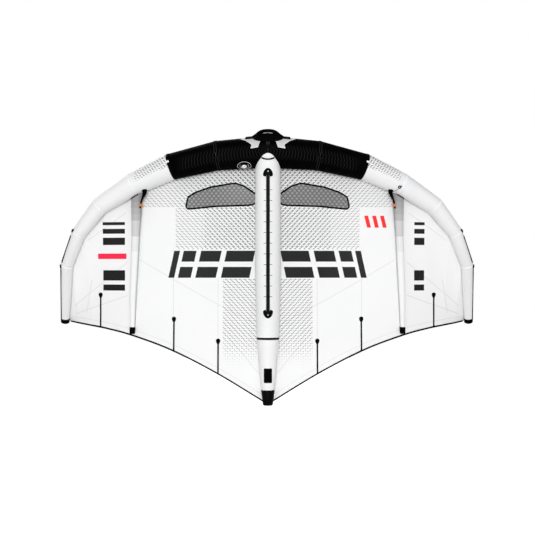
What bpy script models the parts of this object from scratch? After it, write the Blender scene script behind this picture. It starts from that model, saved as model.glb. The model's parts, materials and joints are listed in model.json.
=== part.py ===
"""Inflatable hand-held wing, as it hangs by its front handle with its underside towards -Y.

+X runs along the span, +Z runs from the tail to the nose and +Y points out of the wing's upper side.
The origin is the middle of the front handle's grip. All lengths are in metres.
"""

import math

import bmesh
import bpy
from mathutils import Matrix, Vector

# Clearances
SEAT_GAP = 0.0003
CUT_OVERRUN = 0.004
WELD_DISTANCE = 0.00002

# Fineness of the round and curved faces
SHARP_ANGLE = math.radians(35)
MITRE_LIMIT_SHARE = 0.5
NORMAL_STEP_SHARE = 0.02
SEAM_STEPS = 4
SMALL_SIDES = 20
SCREW_SIDES = 16
PIN_SIDES = 12

# Leading edge tube, from the middle (first share) to the tip (last share)
HALF_SPAN = 1.366
SWEEP = 1.0975
TIP_LIFT = 0.500
TUBE_RADIUS = 0.103
SPAN_SHARES = (0.0, 0.237, 0.4575, 0.637, 0.802, 0.911, 0.977, 1.0)
SWEEP_SHARES = (0.0, 0.0205, 0.084, 0.182, 0.310, 0.4715, 0.665, 1.0)
LIFT_SHARES = (0.0, 0.028, 0.106, 0.212, 0.352, 0.500, 0.672, 1.0)
TUBE_RADIUS_SHARES = (1.0, 0.922, 0.830, 0.699, 0.569, 0.454, 0.399, 0.280)
TUBE_SIDES = 24
CASING_WALL = 0.001
BLADDER_WALL = 0.0006
BLADDER_SIDES = 12
BLADDER_END = 0.060
TIP_CAP_LENGTH = 0.017
TIP_CAP_STRAIGHT_SHARE = 0.6
TIP_CAP_ROUND_SHARE = 0.82
FIRST_WHITE_PANEL = 2

# Front handle
GRIP_RADIUS = 0.010
GRIP_FOOT_RADIUS = 0.0125
FINGER_GAP = 0.028
GRIP_HALF_WIDTH = 0.088
GRIP_STEPS = 4
GRIP_ROUNDNESS = 3
GRIP_TILT = math.radians(15)
GRIP_WIDTH_SHARES = (1.0, 0.86, 0.62, 0.32, 0.0)
GRIP_HEIGHT_SHARES = (-0.35, 0.12, 0.66, 0.94, 1.0)
HANDLE_PAD_THICKNESS = 0.0025
HANDLE_PAD_HALF_WIDTH = 0.097
HANDLE_PAD_HALF_DEPTH = 0.052
HANDLE_STRAP_HALF_WIDTH = 0.011
HANDLE_STRAP_REACH = 0.147

# Centre strut, from the tube's axis (first share) to the tail (last share)
STRUT_LENGTH = 1.6255
STRUT_RADIUS = 0.0820
STRUT_PROUD = 0.0008
STRUT_LENGTH_SHARES = (0.0, 0.466, 0.656, 0.762, 0.8216, 0.8807, 0.920, 0.938, 1.0)
STRUT_RADIUS_SHARES = (1.0, 0.996, 0.930, 0.841, 0.728, 0.650, 0.567, 0.512, 0.392)
STRUT_KEEL_SHARE = 0.656
STRUT_TAIL_TOP = 0.012
STRUT_SIDES = 24
BAND_START = 1.1885
BAND_WIDTH = 0.0140
TAIL_CAP_LENGTH = 0.100
TAIL_CAP_WALL = 0.003

# Handle rail under the centre strut
RAIL_START = 0.154
RAIL_LENGTH = 0.867
RAIL_WIDTH = 0.0190
RAIL_DEPTH = 0.0100
RAIL_SLOT_WIDTH = 0.0070
RAIL_CHANNEL_WIDTH = 0.0130
RAIL_LIP = 0.0022
RAIL_FLOOR = 0.0025
FITTING_HALF_WIDTH = 0.032
FITTING_LENGTH = 0.049
FITTING_DEPTH = 0.0150
FITTING_SINK = 0.0040
FITTING_ROWS = 11
SCREW_RADIUS = 0.0022
SCREW_HEAD_RADIUS = 0.0042
SCREW_HEAD_HEIGHT = 0.0022
SCREW_SOCKET_RADIUS = 0.0018
SCREW_SOCKET_DEPTH = 0.0012
SCREW_PLACE_SHARE = 0.46
SCREW_PLAY = 0.0004

# Canopy; shares of the span, sweep and lift of the tube, from the middle to the tip. At the
# middle the trailing edge meets the centre strut's end, so the sweep shares start one seam out.
CANOPY_THICKNESS = 0.0010
TRAIL_SPAN_SHARES = (0.0, 0.2416, 0.4575, 0.6428, 0.765, 0.8529, 0.9239, 0.9720)
TRAIL_SWEEP_SHARES = (1.3016, 1.1679, 1.0866, 1.0497, 1.0319, 1.0199, 1.0118)
TRAIL_LIFT_SHARES = (0.0256, 0.086, 0.184, 0.340, 0.510, 0.680, 0.865, 1.040)
ATTACH_ANGLE = math.radians(45)
BILLOW = 0.045
CAMBER = 0.030
CENTRE_REACH_SHARE = 1.2
FRONT_FALL_POWER = 6
MINI_STRUT_SEAM = 3
HEM_WIDTH = 0.0080
HEM_THICKNESS = 0.0016
CHORD_SHARES = (0.0, 0.04, 0.10, 0.20, 0.32, 0.55, 0.75, 0.86, 0.94, 1.0)

# Windows: outline from the inner end round the front edge
WINDOW_INNER_X = 0.052
WINDOW_LENGTH = 0.480
WINDOW_FRONT = 0.1956
WINDOW_DEPTH = 0.166
WINDOW_LENGTH_SHARES = (0.0, 0.069, 0.213, 0.341, 0.659, 0.861, 0.970, 1.0, 0.971, 0.605, 0.115, 0.0)
WINDOW_DEPTH_SHARES = (0.55, 0.406, 0.105, 0.0, 0.145, 0.340, 0.527, 0.898, 1.0, 0.898, 0.859, 0.72)

# Batten pockets on the canopy's underside
BATTEN_X_SHARES = (0.235, 0.4458, 0.808)
BATTEN_FRONT_SHARES = (1.0955, 0.9670, 0.8268)
BATTEN_THICKNESS = 0.0025
BATTEN_HALF_WIDTH = 0.0042
BATTEN_HEAD_HALF_WIDTH = 0.0125
BATTEN_HEAD_LENGTH = 0.033
BATTEN_LENGTH = 0.300
HEAD_LENGTH_SHARES = (0.0, 0.12, 0.38, 0.66, 1.0)
HEAD_WIDTH_SHARES = (0.30, 0.78, 1.0, 0.82, 0.34)

# Short struts; chord shares and radii from the leading edge to the trailing edge
MINI_RADIUS = 0.0400
MINI_CHORD_SHARES = (-0.054, 0.063, 0.310, 0.643, 0.945, 0.991)
MINI_RADIUS_SHARES = (1.0, 0.868, 0.625, 0.560, 0.440, 0.425)
MINI_SIDES = 12
MINI_SLEEVE_WALL = 0.0025

# Inflation hoses of the short struts and their clips
HOSE_RADIUS = 0.0048
HOSE_FLARE_RADIUS = 0.0095
HOSE_FLARE_LENGTH = 0.050
HOSE_STEP = 0.010
HOSE_WALL = 0.0012
HOSE_SIDES = 8
HOSE_SIDE_ANGLE = math.radians(37)
HOSE_STAND_OFF = 0.0042
HOSE_ROOT_X = 0.822
HOSE_ROOT_ANGLE = math.radians(-22)
HOSE_CLIP_DROP = 0.3350
HOSE_PORT_REACH = 0.0390
HOSE_PORT_RUN = 0.0260
CLIP_RUN_SHARES = (1.0, 0.5, 0.0, -0.5, -1.0)
CLIP_WALL = 0.0024
CLIP_LENGTH = 0.0150
LEVER_WIDTH = 0.0080
LEVER_LENGTH = 0.0170
LEVER_THICKNESS = 0.0022
CLIP_EAR_WIDTH = 0.0018
CLIP_EAR_HEIGHT = 0.0050
CLIP_PIN_RADIUS = 0.0008
PIN_PLAY = 0.0003

# Valve on the tube's rear, left of the strut
VALVE_X_SHARE = 0.477
VALVE_ANGLE = math.radians(-35)
VALVE_FLANGE_RADIUS = 0.0260
VALVE_FLANGE_HEIGHT = 0.0030
VALVE_FLANGE_DEPTH = 0.0060
VALVE_BORE_RADIUS = 0.0125
VALVE_STEM_WALL = 0.0025
VALVE_STEM_DEPTH = 0.0160
INSERT_BORE_RADIUS = 0.0092
INSERT_DEPTH = 0.0105
INSERT_RIM_RADIUS = 0.0165
INSERT_RIM_HEIGHT = 0.0032
FLAP_RADIUS = 0.0104
FLAP_THICKNESS = 0.0010
CAP_RADIUS = 0.0165
CAP_HEIGHT = 0.0034
CAP_PLUG_RADIUS = 0.0084
CAP_PLUG_DEPTH = 0.0040
CAP_DOME_SHARES = (1.0, 0.97, 0.86, 0.60)
CAP_RISE_SHARES = (0.0, 0.55, 0.86, 1.0)
HINGE_REACH = 0.0195
HINGE_PIN_RADIUS = 0.0009
HINGE_KNUCKLE_RADIUS = 0.0021
HINGE_ARM_WIDTH = 0.0056
HINGE_EAR_WIDTH = 0.0018
TURNED_STEPS = 24

# Ring on the tube's underside near the right short strut, with its cord
RING_X_SHARE = 2.92
RING_ANGLE = math.radians(-67.5)
RING_RADIUS = 0.0110
RING_BORE_RADIUS = 0.0050
RING_HEIGHT = 0.0028
TETHER_RADIUS = 0.0009
TETHER_END_ANGLE = math.radians(-30)
TETHER_SHIFT = 0.010
TETHER_STEPS = 8
TETHER_ROUNDNESS = 1

WHITE = (0.93, 0.93, 0.93)
BLACK = (0.012, 0.012, 0.013)
GREY = (0.62, 0.62, 0.62)
SMOKE = (0.25, 0.26, 0.27)
CLEAR = (0.80, 0.84, 0.86)
ORANGE = (1.0, 0.14, 0.0)
STEEL = (0.70, 0.70, 0.70)

HANDLE_REACH = TUBE_RADIUS + FINGER_GAP + GRIP_RADIUS
HANDLE_OUT = Vector((0, -math.sin(GRIP_TILT), math.cos(GRIP_TILT)))
HANDLE_SIDE = Vector((0, math.cos(GRIP_TILT), math.sin(GRIP_TILT)))
TUBE_MIDDLE = -HANDLE_REACH * HANDLE_OUT
HOSE_PORT_DROP = HOSE_CLIP_DROP + HOSE_PORT_REACH
TRAIL_DROPS = (STRUT_LENGTH, *[SWEEP * share for share in TRAIL_SWEEP_SHARES])
SEAMS = len(SPAN_SHARES) - 1
MIDDLE = SEAMS
TUBE_END = 2 * SEAMS
PAD_TOP = SEAT_GAP + HANDLE_PAD_THICKNESS
SHEET_SEAT = SEAT_GAP + CANOPY_THICKNESS / 2
KEEL = -(TUBE_RADIUS + SEAT_GAP + STRUT_PROUD)


def place(x, lift, drop):
    """A point from its place along the span, above the tube's middle and behind it."""
    return TUBE_MIDDLE + Vector((x, lift, -drop))


def lerp(a, b, share):
    return a + (b - a) * share


def table(values, keys, key):
    """Value at a key, straight between a table's entries."""
    for i in range(len(keys) - 1):
        if key <= keys[i + 1]:
            break
    return lerp(values[i], values[i + 1], (key - keys[i]) / (keys[i + 1] - keys[i]))


def smooth(values, index):
    """Value at a part index of a table, on a smooth curve through its entries."""
    last = len(values) - 1
    low = min(int(index), last - 1)
    t = index - low
    before = values[low - 1] if low else 2 * values[low] - values[low + 1]
    after = values[low + 2] if low + 2 <= last else 2 * values[last] - values[last - 1]
    a, b = values[low], values[low + 1]
    return 0.5 * (2 * a + (b - before) * t + (2 * before - 5 * a + 4 * b - after) * t * t
                  + (3 * a - before - 3 * b + after) * t ** 3)


def smooth_path(knots, step):
    """Points about a step apart on a smooth curve through knots; straight where they line up."""
    ways = [(b - a).normalized() for a, b in zip(knots, knots[1:])]
    turns = [ways[0]] + [(a + b).normalized() for a, b in zip(ways, ways[1:])] + [ways[-1]]
    path = [knots[0]]
    for k, (a, b) in enumerate(zip(knots, knots[1:])):
        length = (b - a).length
        count = max(1, round(length / step))
        for j in range(1, count + 1):
            t = j / count
            start, end = turns[k] * length, turns[k + 1] * length
            rise, fall = t * t * (3 - 2 * t), t * t * (t - 1)
            path.append(a * (1 - rise) + b * rise + start * (t * (1 - t) ** 2) + end * fall)
    return path


# Scene, materials and shared mesh tools

for old in list(bpy.data.objects):
    bpy.data.objects.remove(old)

PARTS = bpy.data.collections.new("wingfoil_wing")
CUTTERS = bpy.data.collections.new("cutters")
bpy.context.scene.collection.children.link(PARTS)
bpy.context.scene.collection.children.link(CUTTERS)


def material(name, colour, roughness, metallic=0.0):
    made = bpy.data.materials.new(name)
    made.use_nodes = True
    shader = made.node_tree.nodes["Principled BSDF"]
    shader.inputs["Base Color"].default_value = (*colour, 1)
    shader.inputs["Roughness"].default_value = roughness
    shader.inputs["Metallic"].default_value = metallic
    return made


def add(name, shape, finish=None, place_matrix=None):
    """Puts a bmesh in the scene, as a part with its own material or as a cutter without one."""
    bmesh.ops.recalc_face_normals(shape, faces=shape.faces)
    mesh = bpy.data.meshes.new(name)
    shape.to_mesh(mesh)
    shape.free()
    made = bpy.data.objects.new(name, mesh)
    if place_matrix:
        made.matrix_world = place_matrix
    if finish:
        mesh.materials.append(material(name, *finish))
        mesh.shade_smooth()
        mesh.set_sharp_from_angle(angle=SHARP_ANGLE)
        PARTS.objects.link(made)
    else:
        made.display_type = "WIRE"
        made.hide_render = True
        CUTTERS.objects.link(made)
    return made


def boolean(target, other, operation="DIFFERENCE"):
    step = target.modifiers.new(operation.lower(), "BOOLEAN")
    step.operation = operation
    step.solver = "EXACT"
    step.object = other


def settle(piece):
    """Makes a piece's modifiers final and takes out edges and faces too small to hold a shape."""
    depsgraph = bpy.context.evaluated_depsgraph_get()
    mesh = bpy.data.meshes.new_from_object(piece.evaluated_get(depsgraph))
    shape = bmesh.new()
    shape.from_mesh(mesh)
    bmesh.ops.remove_doubles(shape, verts=shape.verts, dist=WELD_DISTANCE)
    bmesh.ops.triangulate(shape, faces=shape.faces)
    bmesh.ops.dissolve_degenerate(shape, dist=WELD_DISTANCE, edges=shape.edges)
    bmesh.ops.triangulate(shape, faces=shape.faces)
    shape.to_mesh(mesh)
    shape.free()
    piece.modifiers.clear()
    piece.data = mesh


def skin_between(shape, first, second, turned_round=False):
    """Triangles between two rows of vertices; a row that runs back gets the same diagonals."""
    for k in range(len(first)):
        n = (k + 1) % len(first)
        if turned_round:
            shape.faces.new((first[k], first[n], second[k]))
            shape.faces.new((first[n], second[n], second[k]))
        else:
            shape.faces.new((first[k], first[n], second[n]))
            shape.faces.new((first[k], second[n], second[k]))


def loft(rings):
    """Solid through rings of points, capped at its first and last ring."""
    shape = bmesh.new()
    rows = [[shape.verts.new(p) for p in ring] for ring in rings]
    for a, b in zip(rows, rows[1:]):
        skin_between(shape, a, b)
    shape.faces.new(rows[0])
    shape.faces.new(rows[-1])
    return shape


def pipe(outer, inner):
    """Open-ended pipe between matching rings of an outer and an inner skin."""
    shape = bmesh.new()
    out_rows = [[shape.verts.new(p) for p in ring] for ring in outer]
    in_rows = [[shape.verts.new(p) for p in ring] for ring in inner]
    for a, b in zip(out_rows, out_rows[1:]):
        skin_between(shape, a, b)
    for a, b in zip(in_rows, in_rows[1:]):
        skin_between(shape, b, a, True)
    skin_between(shape, in_rows[0], out_rows[0])
    skin_between(shape, out_rows[-1], in_rows[-1])
    return shape


def cylinder(radius, low, high, sides=TURNED_STEPS):
    """Cylinder on the Z axis."""
    shape = bmesh.new()
    turn = Matrix.Translation((0, 0, (low + high) / 2))
    bmesh.ops.create_cone(shape, cap_ends=True, segments=sides, radius1=radius, radius2=radius,
                          depth=high - low, matrix=turn)
    return shape


def box(low, high):
    shape = bmesh.new()
    low, high = Vector(low), Vector(high)
    size = Matrix.Diagonal((*(high - low), 1))
    bmesh.ops.create_cube(shape, size=1, matrix=Matrix.Translation((low + high) / 2) @ size)
    return shape


def turned(profile, steps=TURNED_STEPS):
    """Solid of revolution about Z, from (radius, height) points of a closed outline."""
    shape = bmesh.new()
    angles = [math.tau * k / steps for k in range(steps)]
    rows = [[shape.verts.new((r * math.cos(a), r * math.sin(a), z)) for a in angles] for r, z in profile]
    for first, second in zip(rows, rows[1:] + rows[:1]):
        skin_between(shape, first, second)
    return shape


def prism(outline, low, high):
    """Flat outline of (x, z) points, extruded along Y."""
    shape = bmesh.new()
    face = shape.faces.new([shape.verts.new((x, low, z)) for x, z in outline])
    moved = bmesh.ops.extrude_face_region(shape, geom=[face])["geom"]
    verts = [v for v in moved if isinstance(v, bmesh.types.BMVert)]
    bmesh.ops.translate(shape, verts=verts, vec=(0, high - low, 0))
    return shape


def grown(outline, amount):
    """Outline of (x, z) points moved outwards by an amount."""
    points = [Vector(p) for p in outline]
    area = sum(a.x * b.y - b.x * a.y for a, b in zip(points, points[1:] + points[:1]))
    turn = 1 if area > 0 else -1
    result = []
    for k, point in enumerate(points):
        first = (point - points[k - 1]).normalized()
        second = (points[(k + 1) % len(points)] - point).normalized()
        out = Vector((first.y + second.y, -first.x - second.x)).normalized() * turn
        half = max(out.dot(Vector((second.y, -second.x)) * turn), MITRE_LIMIT_SHARE)
        result.append(tuple(point + out * amount / half))
    return result


def curve_tube(name, points, radii, roundness, finish):
    """Tube through points with a radius at each, made a mesh so that it can be cut."""
    data = bpy.data.curves.new(name, "CURVE")
    data.dimensions = "3D"
    data.bevel_depth = 1
    data.bevel_resolution = roundness
    data.use_fill_caps = True
    spline = data.splines.new("POLY")
    spline.points.add(len(points) - 1)
    for knot, point, radius in zip(spline.points, points, radii):
        knot.co = (*point, 1)
        knot.radius = radius
    path = bpy.data.objects.new(name + "_path", data)
    PARTS.objects.link(path)
    bpy.context.view_layer.update()
    depsgraph = bpy.context.evaluated_depsgraph_get()
    mesh = bpy.data.meshes.new_from_object(path.evaluated_get(depsgraph))
    shape = bmesh.new()
    shape.from_mesh(mesh)
    bmesh.ops.remove_doubles(shape, verts=shape.verts, dist=WELD_DISTANCE)
    bpy.data.objects.remove(path)
    bpy.data.meshes.remove(mesh)
    return add(name, shape, finish)


# Leading edge tube

def spine():
    """Centres and radii of the tube's rings, from the left tip to the right tip."""
    right = [
        (place(HALF_SPAN * x, TIP_LIFT * l, SWEEP * d), TUBE_RADIUS * r)
        for x, l, d, r in zip(SPAN_SHARES, LIFT_SHARES, SWEEP_SHARES, TUBE_RADIUS_SHARES)
    ]
    left = [(Vector((-p.x, p.y, p.z)), r) for p, r in reversed(right[1:])]
    return left + right


SPINE = spine()


def ring_point(station, angle, offset):
    """Point of a mitred ring: angle 0 faces the trailing edge and 90 degrees the upper side."""
    centre, radius = SPINE[station]
    before = centre - SPINE[station - 1][0] if station else SPINE[1][0] - centre
    after = SPINE[station + 1][0] - centre if station < TUBE_END else before
    before.normalize()
    after = after.normalized()
    along = (before + after).normalized()
    top = (Vector((0, 1, 0)) - along * along.y).normalized()
    rear = top.cross(along)
    out = rear * math.cos(angle) + top * math.sin(angle)
    bend = after - before
    if bend.length > 0:
        bend.normalize()
        out = out + bend * out.dot(bend) * (1 / along.dot(after) - 1)
    return centre + out * (radius + offset)


def tube_point(t, angle, offset=0.0):
    """Point on the tube's surface at a part index along the spine."""
    station = min(int(t), TUBE_END - 1)
    return lerp(ring_point(station, angle, offset), ring_point(station + 1, angle, offset), t - station)


def tube_centre(t):
    station = min(int(t), TUBE_END - 1)
    return lerp(SPINE[station][0], SPINE[station + 1][0], t - station)


def tube_ring(t, offset, sides=TUBE_SIDES):
    return [tube_point(t, math.tau * k / sides, offset) for k in range(sides)]


def bay_length(station):
    return (SPINE[station + 1][0] - SPINE[station][0]).length


def part_index(station, distance):
    """Part index a distance past a station, or before it when the distance is negative."""
    bay = station if distance > 0 else station - 1
    return station + distance / bay_length(bay)


def tube_solid(offset):
    """The whole tube as one solid, grown by an offset."""
    return loft([tube_ring(t, offset) for t in range(TUBE_END + 1)])


def casing_panel(name, station, finish):
    """One sewn panel of the tube's casing, between two seams."""
    low = part_index(station, SEAT_GAP / 2)
    high = part_index(station + 1, -SEAT_GAP / 2)
    outer = [tube_ring(low, 0), tube_ring(high, 0)]
    inner = [tube_ring(low, -CASING_WALL), tube_ring(high, -CASING_WALL)]
    return add(name, pipe(outer, inner), finish)


def side_names():
    return (("left", -1), ("right", 1))


def leading_edge_casing():
    panels = {}
    for side, sign in side_names():
        for bay in range(SEAMS):
            station = MIDDLE + bay if sign > 0 else MIDDLE - bay - 1
            dark = bay < FIRST_WHITE_PANEL
            name = f"leading_edge_panel_{side}_{bay + 1}"
            finish = (BLACK, 0.35) if dark else (WHITE, 0.5)
            panels[side, bay] = casing_panel(name, station, finish)
    return panels


def hollow_bladder(name, rings_outer, rings_inner, port):
    """Thin closed skin with a hole at its inflation port."""
    skin = add(name, loft(rings_outer), (CLEAR, 0.25))
    boolean(skin, add(name + "_inside", loft(rings_inner)))
    boolean(skin, port)
    return skin


def leading_edge_bladder(port):
    outside = -(CASING_WALL + SEAT_GAP)
    inside = outside - BLADDER_WALL
    first = part_index(0, SEAT_GAP + BLADDER_WALL)
    last = TUBE_END - first
    marks = [first, *range(1, TUBE_END), last]
    outer = [tube_ring(t, outside, BLADDER_SIDES) for t in marks]
    first_in = part_index(0, SEAT_GAP + 2 * BLADDER_WALL)
    marks_in = [first_in, *range(1, TUBE_END), TUBE_END - first_in]
    inner = [tube_ring(t, inside, BLADDER_SIDES) for t in marks_in]
    return hollow_bladder("leading_edge_bladder", outer, inner, port)


def tip_caps():
    for side, end, neighbour in (("left", 0, 1), ("right", TUBE_END, TUBE_END - 1)):
        out = (SPINE[end][0] - SPINE[neighbour][0]).normalized()
        ring = tube_ring(end, 0)
        centre = SPINE[end][0]
        rings = []
        straight = TIP_CAP_LENGTH * TIP_CAP_STRAIGHT_SHARE
        for reach, share in ((SEAT_GAP, 1.0), (straight, 1.0), (TIP_CAP_LENGTH, TIP_CAP_ROUND_SHARE)):
            rings.append([centre + (p - centre) * share + out * reach for p in ring])
        add(f"tip_cap_{side}", loft(rings), (BLACK, 0.45))


# Canopy surface

def strut_radius(drop):
    places = [STRUT_LENGTH * s for s in STRUT_LENGTH_SHARES]
    return table([STRUT_RADIUS * s for s in STRUT_RADIUS_SHARES], places, drop)


def strut_top(drop):
    """Height of the centre strut's upper line above the tube's axis."""
    keel_end = STRUT_LENGTH * STRUT_KEEL_SHARE
    if drop <= keel_end:
        return KEEL + 2 * strut_radius(drop)
    start = KEEL + 2 * strut_radius(keel_end)
    return lerp(start, STRUT_TAIL_TOP, (drop - keel_end) / (STRUT_LENGTH - keel_end))


def attach_point(s):
    """Right half: where the canopy's front edge meets the tube."""
    return tube_point(MIDDLE + s, ATTACH_ANGLE, SEAT_GAP + CANOPY_THICKNESS / 2)


def trail_point(s):
    """Right half: the trailing edge's outer line."""
    return place(HALF_SPAN * smooth(TRAIL_SPAN_SHARES, s), TIP_LIFT * smooth(TRAIL_LIFT_SHARES, s),
                 smooth(TRAIL_DROPS, s))


def canopy_point(s, v, sign=1, lift=0.0):
    """Point of the canopy at a part seam index from the middle and a share of the chord."""
    point = surface_point(s, v)
    if lift:
        point = point + surface_normal(s, v) * lift
    return Vector((point.x * sign, point.y, point.z))


def chord_ends(s):
    """Front and rear edge of the canopy, ahead of the hem."""
    front, trail = attach_point(s), trail_point(s)
    return front, trail + (front - trail).normalized() * (HEM_WIDTH + SEAT_GAP)


def chord_rows():
    """Chord shares of the canopy's rows, with one at each bend of the centre strut's upper line."""
    front, trail = chord_ends(0)
    rows = list(CHORD_SHARES)
    for share in STRUT_LENGTH_SHARES[1:]:
        drop = STRUT_LENGTH * share
        if share <= STRUT_KEEL_SHARE:
            rows.append((drop + front.z - TUBE_MIDDLE.z) / (front.z - trail.z))
    return sorted(rows)


def surface_point(s, v):
    point = lerp(*chord_ends(s), v)
    inner = s < MINI_STRUT_SEAM
    bay = s / MINI_STRUT_SEAM if inner else (s - MINI_STRUT_SEAM) / (SEAMS - MINI_STRUT_SEAM)
    wave = math.sin(math.pi * min(max(v, 0.0), 1.0))
    centre_share = max(0.0, 1 - s / CENTRE_REACH_SHARE) ** 2
    outer_share = 1 - s / SEAMS
    point.y += wave * BILLOW * outer_share * math.sin(math.pi * bay) ** 2
    point.y += wave * CAMBER * outer_share * (1 - centre_share)
    if centre_share:
        point.y += centre_share * centre_lift(v)
    return point


def seat_height(point):
    """Height of a sheet that lies on the centre strut at a point's distance behind the tube."""
    drop = min(max(TUBE_MIDDLE.z - point.z, 0.0), STRUT_LENGTH)
    return TUBE_MIDDLE.y + strut_top(drop) + SHEET_SEAT


def centre_lift(v):
    """How far the canopy's middle line stands off its straight chord: from the tube onto the strut."""
    front, trail = chord_ends(0)
    straight = lerp(front, trail, v)
    fall = (1 - min(max(v, 0.0), 1.0)) ** FRONT_FALL_POWER
    return seat_height(straight) + (front.y - seat_height(front)) * fall - straight.y


def surface_normal(s, v):
    step = NORMAL_STEP_SHARE
    across = surface_point(min(s + step, SEAMS), v) - surface_point(max(s - step, 0.0), v)
    along = surface_point(s, min(v + step, 1.0)) - surface_point(s, max(v - step, 0.0))
    return along.cross(across).normalized() * -1


def sheet(name, sign, seams, thickness, lift=0.0, finish=None):
    """Piece of cloth on the canopy's surface between rows of chord shares."""
    shape = bmesh.new()
    rows = [[shape.verts.new(canopy_point(s, v, sign, lift)) for v in CHORD_ROWS] for s in seams]
    for a, b in zip(rows, rows[1:]):
        for k in range(len(CHORD_ROWS) - 1):
            shape.faces.new((a[k], a[k + 1], b[k + 1]))
            shape.faces.new((a[k], b[k + 1], b[k]))
    made = add(name, shape, finish)
    solid = made.modifiers.new("thickness", "SOLIDIFY")
    solid.thickness = thickness
    solid.offset = 0
    return made


def seam_marks(first, last, steps):
    """Part seam indexes between two seams, drawn in by half a gap at both ends."""
    low = part_index(MIDDLE + first, SEAT_GAP / 2) - MIDDLE
    high = part_index(MIDDLE + last, -SEAT_GAP / 2) - MIDDLE
    inner = [first + k / steps for k in range(1, (last - first) * steps)]
    return [low, *inner, high]


CHORD_ROWS = chord_rows()
INNER_MARKS = seam_marks(0, MINI_STRUT_SEAM, SEAM_STEPS)
INNER_MARKS.insert(1, INNER_MARKS[1] / 2)
OUTER_MARKS = seam_marks(MINI_STRUT_SEAM, SEAMS, SEAM_STEPS)


def canopy_depth():
    """Lowest and highest Y that a cut through the whole canopy needs."""
    return TUBE_MIDDLE.y - TUBE_RADIUS, TUBE_MIDDLE.y + TIP_LIFT + TUBE_RADIUS


def window_outline(sign, amount):
    points = []
    for length, depth in zip(WINDOW_LENGTH_SHARES, WINDOW_DEPTH_SHARES):
        x = WINDOW_INNER_X + WINDOW_LENGTH * length
        points.append((sign * x, TUBE_MIDDLE.z - WINDOW_FRONT - WINDOW_DEPTH * depth))
    return grown(points, amount)


def canopy_and_windows():
    low, high = canopy_depth()
    for side, sign in side_names():
        hole = add(f"window_hole_{side}", prism(window_outline(sign, SEAT_GAP), low, high))
        pane = add(f"window_pane_{side}", prism(window_outline(sign, 0), low, high))
        inner = sheet(f"canopy_inner_{side}", sign, INNER_MARKS, CANOPY_THICKNESS, finish=(WHITE, 0.55))
        boolean(inner, hole)
        window = sheet(f"window_{side}", sign, INNER_MARKS, CANOPY_THICKNESS, finish=(SMOKE, 0.3))
        boolean(window, pane, "INTERSECT")
        sheet(f"canopy_outer_{side}", sign, OUTER_MARKS, CANOPY_THICKNESS, finish=(WHITE, 0.55))


def hem_ring(s, sign):
    """Section of the hem at a part seam index: its front face lies along the canopy's edge."""
    edge = canopy_point(s, 1.0, sign)
    back = (edge - canopy_point(s, CHORD_ROWS[-2], sign)).normalized()
    top = surface_normal(s, 1.0)
    top = Vector((top.x * sign, top.y, top.z))
    start = edge + back * SEAT_GAP - top * CANOPY_THICKNESS / 2
    end = start + back * HEM_WIDTH
    lift = top * HEM_THICKNESS
    return [start, end, end + lift, start + lift]


def trailing_hem():
    marks = INNER_MARKS[1:-1] + OUTER_MARKS[1:]
    left = [hem_ring(s, -1) for s in reversed(marks)]
    right = [hem_ring(s, 1) for s in marks]
    add("trailing_hem", loft(left + [hem_ring(0, 1)] + right), (BLACK, 0.6))


def batten_outline(x, front):
    """Drop-shaped head and a straight pocket that runs back past the trailing edge."""
    side = []
    for length, width in zip(HEAD_LENGTH_SHARES, HEAD_WIDTH_SHARES):
        side.append((BATTEN_HEAD_HALF_WIDTH * width, front - BATTEN_HEAD_LENGTH * length))
    side.append((BATTEN_HALF_WIDTH, front - BATTEN_LENGTH))
    right = [(x + w, z) for w, z in side]
    left = [(x - w, z) for w, z in reversed(side)]
    return right + left


def batten_pockets():
    low, high = canopy_depth()
    lift = -(SHEET_SEAT + BATTEN_THICKNESS / 2)
    for side, sign in side_names():
        for k, (x_share, front_share) in enumerate(zip(BATTEN_X_SHARES, BATTEN_FRONT_SHARES)):
            front = TUBE_MIDDLE.z - SWEEP * front_share
            shape = prism(batten_outline(sign * HALF_SPAN * x_share, front), low, high)
            cutter = add(f"batten_shape_{side}_{k + 1}", shape)
            marks = OUTER_MARKS if x_share > SPAN_SHARES[MINI_STRUT_SEAM] else INNER_MARKS
            pocket = sheet(f"batten_pocket_{side}_{k + 1}", sign, marks, BATTEN_THICKNESS, lift, (BLACK, 0.55))
            boolean(pocket, cutter, "INTERSECT")


# Centre strut

def strut_ring(drop, offset, sides=STRUT_SIDES):
    radius = strut_radius(drop)
    centre = place(0, strut_top(drop) - radius, drop)
    angles = [math.tau * k / sides for k in range(sides)]
    reach = radius + offset
    return [centre + Vector((reach * math.sin(a), reach * math.cos(a), 0)) for a in angles]


def strut_marks(start, end):
    inside = [STRUT_LENGTH * s for s in STRUT_LENGTH_SHARES]
    return [start] + [d for d in inside if start < d < end] + [end]


def strut_pipe(start, end):
    marks = strut_marks(start, end)
    outer = [strut_ring(d, 0) for d in marks]
    inner = [strut_ring(d, -CASING_WALL) for d in marks]
    return pipe(outer, inner)


def centre_strut(tube_cutter):
    band_end = BAND_START + BAND_WIDTH
    cap_start = STRUT_LENGTH - TAIL_CAP_LENGTH
    casing = add("strut_casing", strut_pipe(0, BAND_START), (WHITE, 0.5))
    boolean(casing, tube_cutter)
    add("strut_seam_band", strut_pipe(BAND_START + SEAT_GAP, band_end), (BLACK, 0.5))
    add("strut_tail_cone", strut_pipe(band_end + SEAT_GAP, cap_start), (WHITE, 0.5))


def tail_cap():
    start = STRUT_LENGTH - TAIL_CAP_LENGTH + SEAT_GAP
    floor = STRUT_LENGTH - TAIL_CAP_WALL
    rings = [strut_ring(floor, -TAIL_CAP_WALL), strut_ring(start, -TAIL_CAP_WALL), strut_ring(start, 0),
             strut_ring(STRUT_LENGTH, 0)]
    add("tail_cap", loft(rings), (BLACK, 0.45))


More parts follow.
